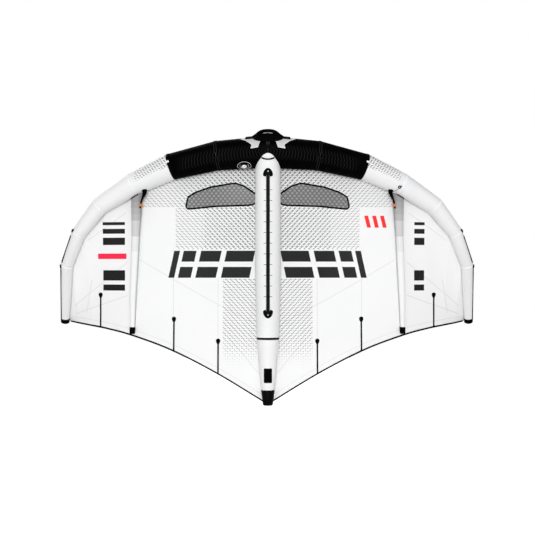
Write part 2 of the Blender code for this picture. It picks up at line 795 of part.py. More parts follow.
def strut_bladder():
    start = TUBE_RADIUS + CUT_OVERRUN
    end = STRUT_LENGTH - TAIL_CAP_LENGTH - BLADDER_END
    outside = -(CASING_WALL + SEAT_GAP)
    inside = outside - BLADDER_WALL
    outer = [strut_ring(d, outside, BLADDER_SIDES) for d in strut_marks(start, end)]
    inner_marks = strut_marks(start + BLADDER_WALL, end - BLADDER_WALL)
    inner = [strut_ring(d, inside, BLADDER_SIDES) for d in inner_marks]
    shape = cylinder(VALVE_BORE_RADIUS, -CUT_OVERRUN, CUT_OVERRUN)
    middle = place(0, strut_top(start) - strut_radius(start), start)
    port = add("strut_port", shape, place_matrix=Matrix.Translation(middle))
    return hollow_bladder("strut_bladder", outer, inner, port)


# Handle rail

def rail_profile():
    """Channel section as (x, y) points, its slot towards -Y."""
    back = TUBE_MIDDLE.y + KEEL - SEAT_GAP
    face = back - RAIL_DEPTH
    half, slot, channel = RAIL_WIDTH / 2, RAIL_SLOT_WIDTH / 2, RAIL_CHANNEL_WIDTH / 2
    lip, floor = face + RAIL_LIP, back - RAIL_FLOOR
    right = [(half, back), (half, face), (slot, face), (slot, lip), (channel, lip), (channel, floor)]
    return right + [(-x, y) for x, y in reversed(right)]


def handle_rail():
    ends = (TUBE_MIDDLE.z - RAIL_START, TUBE_MIDDLE.z - RAIL_START - RAIL_LENGTH)
    rings = [[Vector((x, y, z)) for x, y in rail_profile()] for z in ends]
    return add("handle_rail", loft(rings), (BLACK, 0.4))


def rail_fittings(strut_cutter):
    back = TUBE_MIDDLE.y + KEEL + FITTING_SINK
    deep = FITTING_DEPTH + FITTING_SINK
    ends = (("front", RAIL_START - SEAT_GAP, 1), ("rear", RAIL_START + RAIL_LENGTH + SEAT_GAP, -1))
    for name, flat, sign in ends:
        shape = bmesh.new()
        bmesh.ops.create_uvsphere(shape, u_segments=SMALL_SIDES, v_segments=FITTING_ROWS, radius=1)
        centre = Vector((0, back, TUBE_MIDDLE.z - flat))
        size = Matrix.Diagonal((FITTING_HALF_WIDTH, deep, FITTING_LENGTH, 1))
        turn = Matrix.Rotation(math.pi / SMALL_SIDES, 4, "Z")
        bmesh.ops.transform(shape, matrix=Matrix.Translation(centre) @ size @ turn, verts=shape.verts)
        fitting = add(f"rail_fitting_{name}", shape, (BLACK, 0.4))
        reach = FITTING_LENGTH * 2
        low, high = sorted((centre.z, centre.z - sign * reach))
        behind = add(f"fitting_flat_{name}", box((-reach, -reach + back, low), (reach, reach + back, high)))
        boolean(fitting, behind)
        boolean(fitting, strut_cutter)
        seat = deep * math.sqrt(1 - SCREW_PLACE_SHARE ** 2)
        head = Vector((0, back - seat, centre.z + sign * FITTING_LENGTH * SCREW_PLACE_SHARE))
        turn = Matrix.Translation(head) @ Matrix.Rotation(math.pi / 2, 4, "X")
        sink = SCREW_HEAD_HEIGHT
        narrow = cylinder(SCREW_RADIUS + SCREW_PLAY, -reach, reach, SCREW_SIDES)
        bore = add(f"screw_bore_{name}", narrow, place_matrix=turn)
        wide = cylinder(SCREW_HEAD_RADIUS + SCREW_PLAY, -sink - SEAT_GAP, reach, SCREW_SIDES)
        boolean(fitting, bore)
        boolean(fitting, add(f"screw_head_seat_{name}", wide, place_matrix=turn))
        length = seat - FITTING_SINK - 2 * SEAT_GAP
        profile = [(0, -length), (SCREW_RADIUS, -length), (SCREW_RADIUS, -sink), (SCREW_HEAD_RADIUS, -sink),
                   (SCREW_HEAD_RADIUS, 0), (SCREW_SOCKET_RADIUS, 0), (SCREW_SOCKET_RADIUS, -SCREW_SOCKET_DEPTH),
                   (0, -SCREW_SOCKET_DEPTH)]
        screw = capped_turn(profile, SCREW_SIDES)
        add(f"rail_screw_{name}", screw, (STEEL, 0.3, 1.0), turn)


def capped_turn(profile, steps=TURNED_STEPS):
    """Solid of revolution about Z whose outline starts and ends on the axis."""
    rings = []
    for radius, height in profile[1:-1]:
        angles = [math.tau * k / steps for k in range(steps)]
        rings.append([Vector((radius * math.cos(a), radius * math.sin(a), height)) for a in angles])
    return loft(rings)


# Front handle

def handle_point(x, reach):
    """Point in the plane of the grip, a distance out from the tube's axis."""
    return TUBE_MIDDLE + HANDLE_OUT * reach + Vector((x, 0, 0))


def handle_prism(outline, reach):
    """Outline of (x, across) points, extruded out of the tube along the handle's direction."""
    rings = []
    for out in (0, reach):
        rings.append([handle_point(x, out) + HANDLE_SIDE * y for x, y in outline])
    return loft(rings)


def tube_skin(low, high):
    """Middle stretch of the tube's surface as a thick skin, for patches to be cut from."""
    marks = (MIDDLE - 1, MIDDLE, MIDDLE + 1)
    outer = [tube_ring(t, high) for t in marks]
    inner = [tube_ring(t, low) for t in marks]
    return pipe(outer, inner)


def front_handle():
    ellipse = []
    for k in range(TURNED_STEPS):
        a = math.tau * (k + 0.5) / TURNED_STEPS
        ellipse.append((HANDLE_PAD_HALF_WIDTH * math.cos(a), HANDLE_PAD_HALF_DEPTH * math.sin(a)))
    pad_cut = add("pad_outline", handle_prism(ellipse, HANDLE_REACH))
    strap = [(-HANDLE_STRAP_REACH, -HANDLE_STRAP_HALF_WIDTH), (HANDLE_STRAP_REACH, -HANDLE_STRAP_HALF_WIDTH),
             (HANDLE_STRAP_REACH, HANDLE_STRAP_HALF_WIDTH), (-HANDLE_STRAP_REACH, HANDLE_STRAP_HALF_WIDTH)]
    boolean(pad_cut, add("strap_outline", handle_prism(strap, HANDLE_REACH)), "UNION")
    base = add("handle_base", tube_skin(SEAT_GAP, PAD_TOP), (BLACK, 0.6))
    boolean(base, pad_cut, "INTERSECT")
    points, radii = [], []
    low, high = TUBE_RADIUS, HANDLE_REACH
    count = len(GRIP_WIDTH_SHARES) - 1
    for k in range(GRIP_STEPS * count + 1):
        x = GRIP_HALF_WIDTH * smooth(GRIP_WIDTH_SHARES, k / GRIP_STEPS)
        height = smooth(GRIP_HEIGHT_SHARES, k / GRIP_STEPS)
        points.append((-x, lerp(low, high, height)))
        radii.append(lerp(GRIP_FOOT_RADIUS, GRIP_RADIUS, min(1.0, max(0.0, height))))
    points += [(-x, out) for x, out in reversed(points[:-1])]
    radii += radii[-2::-1]
    grip = curve_tube("handle_grip", [handle_point(*p) for p in points], radii, GRIP_ROUNDNESS, (BLACK, 0.7))
    seat = [tube_ring(t, PAD_TOP + SEAT_GAP) for t in (MIDDLE - 1, MIDDLE, MIDDLE + 1)]
    boolean(grip, add("grip_seat", loft(seat)))


# Short struts

def mini_seat(v):
    """Point of the canopy's faces on the short strut's line, straight between its rows."""
    for low, high in zip(CHORD_ROWS, CHORD_ROWS[1:]):
        if v <= high:
            break
    first, second = surface_point(MINI_STRUT_SEAM, low), surface_point(MINI_STRUT_SEAM, high)
    return lerp(first, second, (v - low) / (high - low))


def mini_ring(v, sign, offset, sides=MINI_SIDES):
    radius = MINI_RADIUS * table(MINI_RADIUS_SHARES, MINI_CHORD_SHARES, v)
    normal = surface_normal(MINI_STRUT_SEAM, min(max(v, 0.0), 1.0))
    centre = mini_seat(v) - normal * (radius + SHEET_SEAT)
    start = math.atan2(normal.y, normal.x)
    reach = radius + offset
    angles = [start + math.tau * k / sides for k in range(sides)]
    ring = [centre + Vector((reach * math.cos(a), reach * math.sin(a), 0)) for a in angles]
    return [Vector((p.x * sign, p.y, p.z)) for p in ring]


def mini_centre(v, sign):
    ring = mini_ring(v, sign, 0)
    return sum(ring, Vector()) / len(ring)


def mini_marks(start, end):
    inside = [v for v in CHORD_ROWS[1:] + list(MINI_CHORD_SHARES[1:]) if start < v < end]
    return [start, *sorted(inside), end]


def chord_share(drop):
    """Chord share on the short strut's line at a distance behind the tube's middle."""
    front, back = surface_point(MINI_STRUT_SEAM, 0).z, surface_point(MINI_STRUT_SEAM, 1).z
    return (front - TUBE_MIDDLE.z + drop) / (front - back)


def chord_length():
    return (surface_point(MINI_STRUT_SEAM, 1) - surface_point(MINI_STRUT_SEAM, 0)).length


def mini_struts(tube_cutter):
    gap = SEAT_GAP / chord_length()
    sleeve_start, sleeve_end = MINI_CHORD_SHARES[-2:]
    for side, sign in side_names():
        marks = mini_marks(MINI_CHORD_SHARES[0], sleeve_start)
        outer = [mini_ring(v, sign, 0) for v in marks]
        inner = [mini_ring(v, sign, -CASING_WALL) for v in marks]
        casing = add(f"mini_strut_{side}", pipe(outer, inner), (GREY, 0.5))
        boolean(casing, tube_cutter)
        wall = MINI_SLEEVE_WALL / chord_length()
        rings = [mini_ring(sleeve_end - wall, sign, -MINI_SLEEVE_WALL),
                 mini_ring(sleeve_start + gap, sign, -MINI_SLEEVE_WALL),
                 mini_ring(sleeve_start + gap, sign, 0), mini_ring(sleeve_end, sign, 0)]
        add(f"mini_strut_sleeve_{side}", loft(rings), (BLACK, 0.5))
        boolean(casing, port_cutter(side, sign))
        mini_bladder(side, sign)


def mini_bladder(side, sign):
    length = chord_length()
    start = chord_share(HOSE_PORT_DROP) - BLADDER_END / length
    end = MINI_CHORD_SHARES[-2] - BLADDER_END / length
    outside = -(CASING_WALL + SEAT_GAP)
    inside = outside - BLADDER_WALL
    marks = mini_marks(start, end)
    skin = BLADDER_WALL / length
    marks_in = [start + skin] + marks[1:-1] + [end - skin]
    outer = [mini_ring(v, sign, outside) for v in marks]
    inner = [mini_ring(v, sign, inside) for v in marks_in]
    return hollow_bladder(f"mini_strut_bladder_{side}", outer, inner, bpy.data.objects[f"hose_port_{side}"])


# Inflation hoses and clips

def beside_mini(drop, sign, stand_off):
    """Point beside the short strut, on its underside towards the middle of the wing."""
    v = chord_share(drop)
    centre = mini_centre(v, sign)
    radius = MINI_RADIUS * table(MINI_RADIUS_SHARES, MINI_CHORD_SHARES, v)
    reach = radius + stand_off
    out = Vector((-sign * math.sin(HOSE_SIDE_ANGLE), -math.cos(HOSE_SIDE_ANGLE), 0))
    return centre + out * reach


def hose_points(sign):
    """Route of the hose, from inside the tube to inside the short strut."""
    bay = HOSE_ROOT_X / HALF_SPAN
    low, high = SPAN_SHARES[MINI_STRUT_SEAM - 1:MINI_STRUT_SEAM + 1]
    t = MIDDLE + sign * (MINI_STRUT_SEAM - 1 + (bay - low) / (high - low))
    root = tube_point(t, HOSE_ROOT_ANGLE)
    inward = (tube_centre(t) - root).normalized()
    clear = HOSE_STAND_OFF + HOSE_RADIUS
    above = beside_mini(HOSE_CLIP_DROP, sign, clear)
    straight = [above + Vector((0, 0, CLIP_LENGTH * share)) for share in CLIP_RUN_SHARES]
    port = beside_mini(HOSE_PORT_DROP, sign, 0)
    inside = beside_mini(HOSE_PORT_DROP + HOSE_PORT_RUN, sign, -2 * HOSE_RADIUS)
    start = root + inward * HOSE_FLARE_RADIUS
    return [start, root - inward * HOSE_FLARE_RADIUS / 2, *straight, port, inside]


def hose_rings(sign, taper, sides, overrun=0.0):
    knots = hose_points(sign)
    knots[-1] = knots[-1] + (knots[-1] - knots[-2]).normalized() * overrun
    knots[0] = knots[0] + (knots[0] - knots[1]).normalized() * overrun
    path = smooth_path(knots, HOSE_STEP)
    last = len(path) - 1
    rings = []
    for k, point in enumerate(path):
        along = path[min(k + 1, last)] - path[max(k - 1, 0)]
        along.normalize()
        side = along.cross(Vector((0, 1, 0))).normalized()
        top = side.cross(along)
        flare = max(0.0, 1 - (point - knots[0]).length / HOSE_FLARE_LENGTH)
        radius = lerp(HOSE_RADIUS, HOSE_FLARE_RADIUS, flare) - taper
        angles = [math.tau * j / sides for j in range(sides)]
        rings.append([point + (side * math.cos(a) + top * math.sin(a)) * radius for a in angles])
    return rings


def port_cutter(side, sign):
    """Hole for the hose in the short strut's casing and bladder."""
    return add(f"hose_port_{side}", loft(hose_rings(sign, -SEAT_GAP, HOSE_SIDES, CUT_OVERRUN)))


def hoses(tube_cutter):
    for side, sign in side_names():
        hose = add(f"hose_{side}", loft(hose_rings(sign, 0, HOSE_SIDES)), (BLACK, 0.5))
        bore = add(f"hose_bore_{side}", loft(hose_rings(sign, HOSE_WALL, HOSE_SIDES, CUT_OVERRUN)))
        boolean(hose, bore)
        boolean(hose, tube_cutter)


def clip_frame(sign):
    """Middle of the clip, with Z along the hose and -Y out of the strut."""
    point = beside_mini(HOSE_CLIP_DROP, sign, HOSE_STAND_OFF + HOSE_RADIUS)
    return Matrix.Translation(point) @ Matrix.Rotation(-sign * HOSE_SIDE_ANGLE, 4, "Z")


def hose_clips():
    half = CLIP_LENGTH / 2
    outer = HOSE_RADIUS + SEAT_GAP + CLIP_WALL
    ear_top = -(outer + CLIP_EAR_HEIGHT)
    pin_y = ear_top + CLIP_EAR_WIDTH
    ear_in = LEVER_WIDTH / 2 + SEAT_GAP
    ear_z = half - 2 * CLIP_EAR_WIDTH
    pin_z = half - CLIP_EAR_WIDTH
    for side, sign in side_names():
        frame = clip_frame(sign)
        clip = add(f"hose_clip_{side}", cylinder(outer, -half, half, SMALL_SIDES), (ORANGE, 0.4), frame)
        for ear in (-1, 1):
            low, high = sorted((ear * ear_in, ear * (ear_in + CLIP_EAR_WIDTH)))
            shape = box((low, ear_top, ear_z), (high, 0, half))
            boolean(clip, add(f"clip_ear_{side}_{ear + 2}", shape, place_matrix=frame), "UNION")
        across = Matrix.Translation((0, pin_y, pin_z)) @ Matrix.Rotation(math.pi / 2, 4, "Y")
        reach = ear_in + CLIP_EAR_WIDTH / 2
        pin = cylinder(CLIP_PIN_RADIUS, -reach, reach, PIN_SIDES)
        boolean(clip, add(f"clip_pin_{side}", pin, place_matrix=frame @ across), "UNION")
        bore = cylinder(HOSE_RADIUS + SEAT_GAP, -CLIP_LENGTH, CLIP_LENGTH, SMALL_SIDES)
        boolean(clip, add(f"clip_bore_{side}", bore, place_matrix=frame))
        seat = -(outer + SEAT_GAP)
        lever_half = LEVER_WIDTH / 2
        hinge = Matrix.Translation((0, pin_y, pin_z))
        lever_top = CLIP_EAR_WIDTH / 2
        body = box((-lever_half, seat - LEVER_THICKNESS - pin_y, lever_top - LEVER_LENGTH),
                   (lever_half, seat - pin_y, lever_top))
        lever = add(f"clip_lever_{side}", body, (ORANGE, 0.4), frame @ hinge)
        turn = Matrix.Rotation(math.pi / 2, 4, "Y")
        knuckle = cylinder(CLIP_EAR_WIDTH, -lever_half, lever_half, PIN_SIDES)
        boolean(lever, add(f"lever_knuckle_{side}", knuckle, place_matrix=frame @ hinge @ turn), "UNION")
        hole = cylinder(CLIP_PIN_RADIUS + PIN_PLAY, -LEVER_WIDTH, LEVER_WIDTH, PIN_SIDES)
        boolean(lever, add(f"lever_hole_{side}", hole, place_matrix=frame @ hinge @ turn))


# Valve

def valve_frame():
    """Valve's seat on the tube, with Z out of the tube and X along it."""
    t = MIDDLE - VALVE_X_SHARE
    out = tube_point(t, VALVE_ANGLE) - tube_centre(t)
    out.normalize()
    along = (tube_centre(MIDDLE) - tube_centre(MIDDLE - 1)).normalized()
    along = (along - out * along.dot(out)).normalized()
    turn = Matrix((along, out.cross(along), out)).transposed().to_4x4()
    return Matrix.Translation(tube_point(t, VALVE_ANGLE)) @ turn


def valve_port():
    reach = VALVE_BORE_RADIUS + VALVE_STEM_WALL + SEAT_GAP
    return add("valve_port", cylinder(reach, -TUBE_RADIUS / 2, CUT_OVERRUN), place_matrix=valve_frame())


def hinge_cylinder(radius, half_width, name):
    """Cylinder along the cap's hinge line, as a cutter or a piece to join."""
    turn = Matrix.Translation((-HINGE_REACH, 0, hinge_height())) @ Matrix.Rotation(math.pi / 2, 4, "X")
    return add(name, cylinder(radius, -half_width, half_width, SCREW_SIDES), place_matrix=valve_frame() @ turn)


def rim_top():
    return VALVE_FLANGE_HEIGHT + SEAT_GAP + INSERT_RIM_HEIGHT


def hinge_height():
    return rim_top() + SEAT_GAP + HINGE_KNUCKLE_RADIUS


def valve_flange(frame, tube_cutter):
    disc = cylinder(VALVE_FLANGE_RADIUS, -VALVE_FLANGE_DEPTH, VALVE_FLANGE_HEIGHT)
    flange = add("valve_flange", disc, (BLACK, 0.4), frame)
    stem = cylinder(VALVE_BORE_RADIUS + VALVE_STEM_WALL, -VALVE_STEM_DEPTH, VALVE_FLANGE_HEIGHT / 2)
    bore = cylinder(VALVE_BORE_RADIUS, -VALVE_STEM_DEPTH - CUT_OVERRUN, VALVE_FLANGE_HEIGHT + CUT_OVERRUN)
    boolean(flange, tube_cutter)
    boolean(flange, add("valve_stem", stem, place_matrix=frame), "UNION")
    boolean(flange, add("valve_bore", bore, place_matrix=frame))


def valve_insert(frame):
    body = VALVE_BORE_RADIUS - SEAT_GAP
    low = VALVE_FLANGE_HEIGHT + SEAT_GAP
    profile = [(INSERT_BORE_RADIUS, -INSERT_DEPTH), (INSERT_BORE_RADIUS, rim_top()),
               (INSERT_RIM_RADIUS, rim_top()), (INSERT_RIM_RADIUS, low), (body, low), (body, -INSERT_DEPTH)]
    insert = add("valve_insert", turned(profile), (BLACK, 0.4), frame)
    inner = HINGE_ARM_WIDTH / 2 + SEAT_GAP
    outer = inner + HINGE_EAR_WIDTH
    reach = HINGE_REACH + HINGE_KNUCKLE_RADIUS
    for ear in (-1, 1):
        y_low, y_high = sorted((ear * inner, ear * outer))
        shape = box((-reach, y_low, low), (-INSERT_BORE_RADIUS - HINGE_EAR_WIDTH, y_high, rim_top()))
        boolean(insert, add(f"insert_shelf_{ear + 2}", shape, place_matrix=frame), "UNION")
        ear_end = HINGE_KNUCKLE_RADIUS / 2 - HINGE_REACH
        shape = box((-reach, y_low, low), (ear_end, y_high, hinge_height() + HINGE_KNUCKLE_RADIUS))
        boolean(insert, add(f"insert_ear_{ear + 2}", shape, place_matrix=frame), "UNION")
    boolean(insert, hinge_cylinder(HINGE_PIN_RADIUS, (inner + outer) / 2, "insert_pin"), "UNION")


def valve_flap(frame):
    top = -INSERT_DEPTH - SEAT_GAP
    hinge = frame @ Matrix.Translation((-FLAP_RADIUS, 0, top))
    shape = cylinder(FLAP_RADIUS, -FLAP_THICKNESS, 0)
    bmesh.ops.translate(shape, verts=shape.verts, vec=(FLAP_RADIUS, 0, 0))
    add("valve_flap", shape, (CLEAR, 0.4), hinge)


def valve_cap(frame):
    low = rim_top() + SEAT_GAP
    profile = [(0, low - CAP_PLUG_DEPTH), (CAP_PLUG_RADIUS, low - CAP_PLUG_DEPTH), (CAP_PLUG_RADIUS, low),
               (CAP_RADIUS, low)]
    dome = zip(CAP_DOME_SHARES[1:], CAP_RISE_SHARES[1:])
    profile += [(CAP_RADIUS * w, low + CAP_HEIGHT * h) for w, h in dome]
    profile += [(0, low + CAP_HEIGHT)]
    shape = capped_turn(profile)
    hinge = Matrix.Translation((-HINGE_REACH, 0, hinge_height()))
    bmesh.ops.transform(shape, matrix=hinge.inverted(), verts=shape.verts)
    cap = add("valve_cap", shape, (WHITE, 0.4), frame @ hinge)
    arm_half = HINGE_ARM_WIDTH / 2
    arm_top = hinge_height() + HINGE_KNUCKLE_RADIUS / 2
    arm = box((-HINGE_REACH, -arm_half, low + SEAT_GAP), (-CAP_PLUG_RADIUS, arm_half, arm_top))
    boolean(cap, add("cap_arm", arm, place_matrix=frame), "UNION")
    boolean(cap, hinge_cylinder(HINGE_KNUCKLE_RADIUS, arm_half, "cap_knuckle"), "UNION")
    boolean(cap, hinge_cylinder(HINGE_PIN_RADIUS + PIN_PLAY, HINGE_ARM_WIDTH, "cap_hole"))


# Ring and its cord

def tether_ring():
    t = MIDDLE + RING_X_SHARE
    seat = tube_point(t, RING_ANGLE, SEAT_GAP)
    out = (tube_point(t, RING_ANGLE, RING_RADIUS) - tube_point(t, RING_ANGLE)).normalized()
    turn = Matrix.Translation(seat) @ out.to_track_quat("Z", "Y").to_matrix().to_4x4()
    mid = (RING_RADIUS + RING_BORE_RADIUS) / 2
    profile = [(RING_BORE_RADIUS, 0), (RING_BORE_RADIUS, RING_HEIGHT / 2), (mid, RING_HEIGHT),
               (RING_RADIUS, RING_HEIGHT / 2), (RING_RADIUS, 0)]
    add("tether_ring", turned(profile, SMALL_SIDES), (BLACK, 0.35), turn)
    points = []
    lift = SEAT_GAP + TETHER_RADIUS
    room = (RING_RADIUS + 2 * TETHER_RADIUS) / (TUBE_RADIUS * TUBE_RADIUS_SHARES[MINI_STRUT_SEAM])
    shift = TETHER_SHIFT / bay_length(MIDDLE + MINI_STRUT_SEAM - 1)
    for k in range(TETHER_STEPS + 1):
        share = k / TETHER_STEPS
        angle = lerp(RING_ANGLE + room, TETHER_END_ANGLE, share)
        points.append(tube_point(t - shift * share, angle, lift))
    curve_tube("tether_cord", points, [TETHER_RADIUS] * len(points), TETHER_ROUNDNESS, (GREY, 0.7))


def build():
    tube_cutter = add("tube_cutter", tube_solid(SEAT_GAP))
    panels = leading_edge_casing()
    port = valve_port()
    boolean(panels["left", 0], port)
    leading_edge_bladder(port)
    tip_caps()
    canopy_and_windows()
    trailing_hem()
    batten_pockets()
    centre_strut(tube_cutter)
    tail_cap()
    strut_bladder()
    strut_rings = [strut_ring(d, SEAT_GAP) for d in strut_marks(0, STRUT_LENGTH)]
    strut_cutter = add("strut_cutter", loft(strut_rings))
    handle_rail()
    rail_fittings(strut_cutter)
    front_handle()
    mini_struts(tube_cutter)
    hoses(tube_cutter)
    hose_clips()
    frame = valve_frame()
    valve_flange(frame, tube_cutter)
    valve_insert(frame)
    valve_flap(frame)
    valve_cap(frame)
    tether_ring()
    bpy.context.view_layer.update()
    for piece in PARTS.objects:
        settle(piece)


build()
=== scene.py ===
"""Inflatable hand-held wing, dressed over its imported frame: cloth, trim, fittings and light."""

import json
import math

import bmesh
import bpy
from mathutils import Matrix, Vector
from mathutils.bvhtree import BVHTree


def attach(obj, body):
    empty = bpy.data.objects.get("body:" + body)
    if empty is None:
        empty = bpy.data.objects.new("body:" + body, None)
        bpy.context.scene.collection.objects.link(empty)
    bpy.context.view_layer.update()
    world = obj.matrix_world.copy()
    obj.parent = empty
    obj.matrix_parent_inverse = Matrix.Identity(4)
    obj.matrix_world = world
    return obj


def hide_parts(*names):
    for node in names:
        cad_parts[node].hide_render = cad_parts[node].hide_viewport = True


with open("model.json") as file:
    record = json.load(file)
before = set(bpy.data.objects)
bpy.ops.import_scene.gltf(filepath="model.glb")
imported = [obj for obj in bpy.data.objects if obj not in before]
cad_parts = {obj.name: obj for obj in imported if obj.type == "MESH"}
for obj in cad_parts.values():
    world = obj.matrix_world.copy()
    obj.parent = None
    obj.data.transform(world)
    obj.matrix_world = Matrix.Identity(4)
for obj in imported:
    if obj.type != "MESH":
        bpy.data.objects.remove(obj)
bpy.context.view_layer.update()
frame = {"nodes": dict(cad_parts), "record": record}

# Sizes in metres, angles in radians, and shares of the wing's sizes; a table goes from the middle to the tip
# or the tail, and its line says what each row holds where that isn't one value

SEAT_GAP = 0.0003
HALF_SPAN = 1.366
SWEEP = 1.0975
TIP_LIFT = 0.500
TUBE_RADIUS = 0.103
SPAN_SHARES = (0.0, 0.237, 0.4575, 0.637, 0.802, 0.911, 0.977, 1.0)
SWEEP_SHARES = (0.0, 0.0205, 0.084, 0.182, 0.310, 0.4715, 0.665, 1.0)
LIFT_SHARES = (0.0, 0.028, 0.106, 0.212, 0.352, 0.500, 0.672, 1.0)
TUBE_RADIUS_SHARES = (1.0, 0.922, 0.830, 0.699, 0.569, 0.454, 0.399, 0.280)
SEAMS = len(SPAN_SHARES) - 1
MIDDLE = SEAMS
TUBE_END = 2 * SEAMS
FIRST_WHITE_PANEL = 2
MINI_STRUT_SEAM = 3
TUBE_SIDES = 144
TUBE_BOW = 0.236
TUBE_TIP_BOW = 0.04
SIDES = (("left", -1), ("right", 1))

SEAM_ROWS = [0.0, 0.0012, 0.003, 0.006, 0.010, 0.016, 0.025, 0.038]
SEAM_DEPTH = 0.0012
SEAM_REACH = 0.0035
PUCKER_DEPTH = 0.00045
PUCKER_REACH = 0.011
PUCKER_PITCH = 0.016
RIM_SINK = -0.006
PANEL_SWELL = 0.0012
PANEL_ROW = 0.022
SEAM_INSET = 0.0002
RIM_INSET = 0.0005
TAPE_WIDTH = 0.0100
TAPE_HEIGHT = 0.0012
LOBE_TURNS = (-0.42, 1.30)
LOBE_GAP = 0.028
NOTCH_TURN = 0.375
# Seam, width, half turns from the nose to the gap, shift along the tube
LOBES = ((1, 0.021, 0.502, 0.0), (FIRST_WHITE_PANEL, 0.019, NOTCH_TURN, 0.0072))
LOBE_STITCH_INSET = 0.0034
MIDDLE_STITCH_X = 0.0086
MIDDLE_STITCH_ANGLES = (0.80, 1.19)
SCUFF_PAD_ANGLE = math.radians(31)
SCUFF_STRIP_ANGLE = math.radians(25)
# Seam, shift of the pad, start of the strip, what it leaves free before the next seam, its half width
SCUFF_GUARDS = ((5, -0.004, 0.030, 0.020, 0.0135), (6, 0.006, 0.018, 0.004, 0.0150))
# Reach past the tube's end, share of the end ring
TIP_BOOT = ((-0.0165, 1.03), (-0.008, 1.05), (0.0, 1.05), (0.007, 1.04), (0.012, 1.02), (0.0155, 0.97),
            (0.0170, 0.88), (0.0172, 0.2))
TRIM_SINK = 0.0006

STRUT_LENGTH = 1.6255
STRUT_RADIUS = 0.0820
STRUT_PROUD = 0.0008
STRUT_LENGTH_SHARES = (0.0, 0.466, 0.656, 0.762, 0.8216, 0.8807, 0.920, 0.938, 1.0)
STRUT_RADIUS_SHARES = (1.0, 0.996, 0.930, 0.841, 0.728, 0.650, 0.567, 0.512, 0.392)
STRUT_KEEL_SHARE = 0.656
STRUT_TAIL_TOP = 0.012
STRUT_RIM = -0.004
BAND_START = 1.1885
BAND_END = BAND_START + 0.0140
TAIL_CAP_START = STRUT_LENGTH - 0.100
# Distance along the cap, height over the strut's skin
TAIL_BOOT = ((0, -0.004), (0, 0.0004), (0.004, 0.0012), (0.02, 0.0008), (0.035, 0.0002), (0.05, 0.0006),
             (0.065, 0.0), (0.08, 0.0003), (0.092, -0.0004), (0.098, -0.0025), (0.100, -0.006))
TAIL_FOLD = 0.0007
TAIL_FOLD_END = 0.09
TAIL_PATCH_DROP = 1.431
TAIL_PATCH_HALF_WIDTH = 0.0275
TAIL_PATCH_HALF_LENGTH = 0.047
TAIL_STITCH_INSET = 0.005
NOSE_TIP_DROP = 0.0145
NOSE_TIP_RADIUS = 0.036
NOSE_SETTLE = 0.018
PIPING_DROP = 0.0540
PIPING_BOW = 0.0105
PIPING_HALF = 0.0410

RAIL_START = 0.154
RAIL_LENGTH = 0.867
RAIL_WIDTH = 0.0190
RAIL_MARKS = 11
RAIL_MARK_START = 0.2480
RAIL_MARK_PITCH = 0.0679
RAIL_MARK_HALF = 0.0275
FITTING_HALF_WIDTH = 0.032
FITTING_LENGTH = 0.049
FITTING_DEPTH = 0.0150
FITTING_SINK = 0.0040
DOME_LENGTH = 0.046
SHOULDER_LENGTH = 0.0100
# Shares of the half width and of the length
SHOULDER = ((0.97, 0.30), (0.86, 0.68), (0.68, 0.93), (0.50, 1.0), (0.345, 1.0), (0.345, 0.0))
SCREW_PLACE_SHARE = 0.46
SCREW_PAD_RADIUS = 0.0062
SCREW_PAD_DROP = 0.0008
SCREW_HEAD_RADIUS = 0.0042
# Radius, height
SCREW_PROFILE = ((0.0002, 0.0), (SCREW_HEAD_RADIUS, 0.0), (SCREW_HEAD_RADIUS, 0.0010),
                 (SCREW_HEAD_RADIUS * 0.86, 0.0016), (0.0020, 0.0018), (0.0018, 0.0008), (0.0002, 0.0008))

CANOPY_THICKNESS = 0.0010
TRAIL_SPAN_SHARES = (0.0, 0.2416, 0.4575, 0.6428, 0.765, 0.8529, 0.9239, 0.9720)
TRAIL_SWEEP_SHARES = (1.3016, 1.1679, 1.0866, 1.0497, 1.0319, 1.0199, 1.0118)
TRAIL_LIFT_SHARES = (0.0256, 0.086, 0.184, 0.340, 0.510, 0.680, 0.865, 1.040)
TRAIL_DROPS = (STRUT_LENGTH, *[SWEEP * share for share in TRAIL_SWEEP_SHARES])
ATTACH_ANGLE = math.radians(45)
BILLOW = 0.045
CAMBER = 0.030
CENTRE_REACH_SHARE = 1.2
FRONT_FALL_POWER = 6
SHEET_SEAT = SEAT_GAP + CANOPY_THICKNESS / 2
CUTTER_START = -0.2
CUTTER_LENGTH = 1.1
HEM_WIDTH = 0.0080
HEM_THICKNESS = 0.0016
HEM_SEAM_REACH = 0.036
# Shares along the chord and out of the cloth
HEM_SECTION = ((-0.45, -0.5), (-0.4, -1.0), (0.5, -1.0), (0.9, -0.8), (1.0, 0.0), (0.9, 0.8), (0.5, 1.0),
               (-0.4, 1.0), (-0.45, 0.5))

WINDOW_INNER_X = 0.052
WINDOW_LENGTH = 0.480
WINDOW_FRONT = 0.1956
WINDOW_DEPTH = 0.166
WINDOW_LENGTH_SHARES = (0.0, 0.069, 0.213, 0.341, 0.659, 0.861, 0.970, 1.0, 0.971, 0.605, 0.115, 0.0)
WINDOW_DEPTH_SHARES = (0.55, 0.406, 0.105, 0.0, 0.145, 0.340, 0.527, 0.898, 1.0, 0.898, 0.859, 0.72)

BATTEN_X_SHARES = (0.235, 0.4458, 0.808)
BATTEN_FRONT_SHARES = (1.0955, 0.9670, 0.8268)
BATTEN_HALF_WIDTH = 0.00504
BATTEN_HEAD_HALF_WIDTH = 0.014375
BATTEN_HEAD_LENGTH = 0.0363
BATTEN_LENGTH = 0.300
# Shares of the head's length and half width
BATTEN_HEAD = ((0.0, 0.22), (0.06, 0.55), (0.18, 0.88), (0.38, 1.0), (0.66, 0.80), (1.0, 0.36))

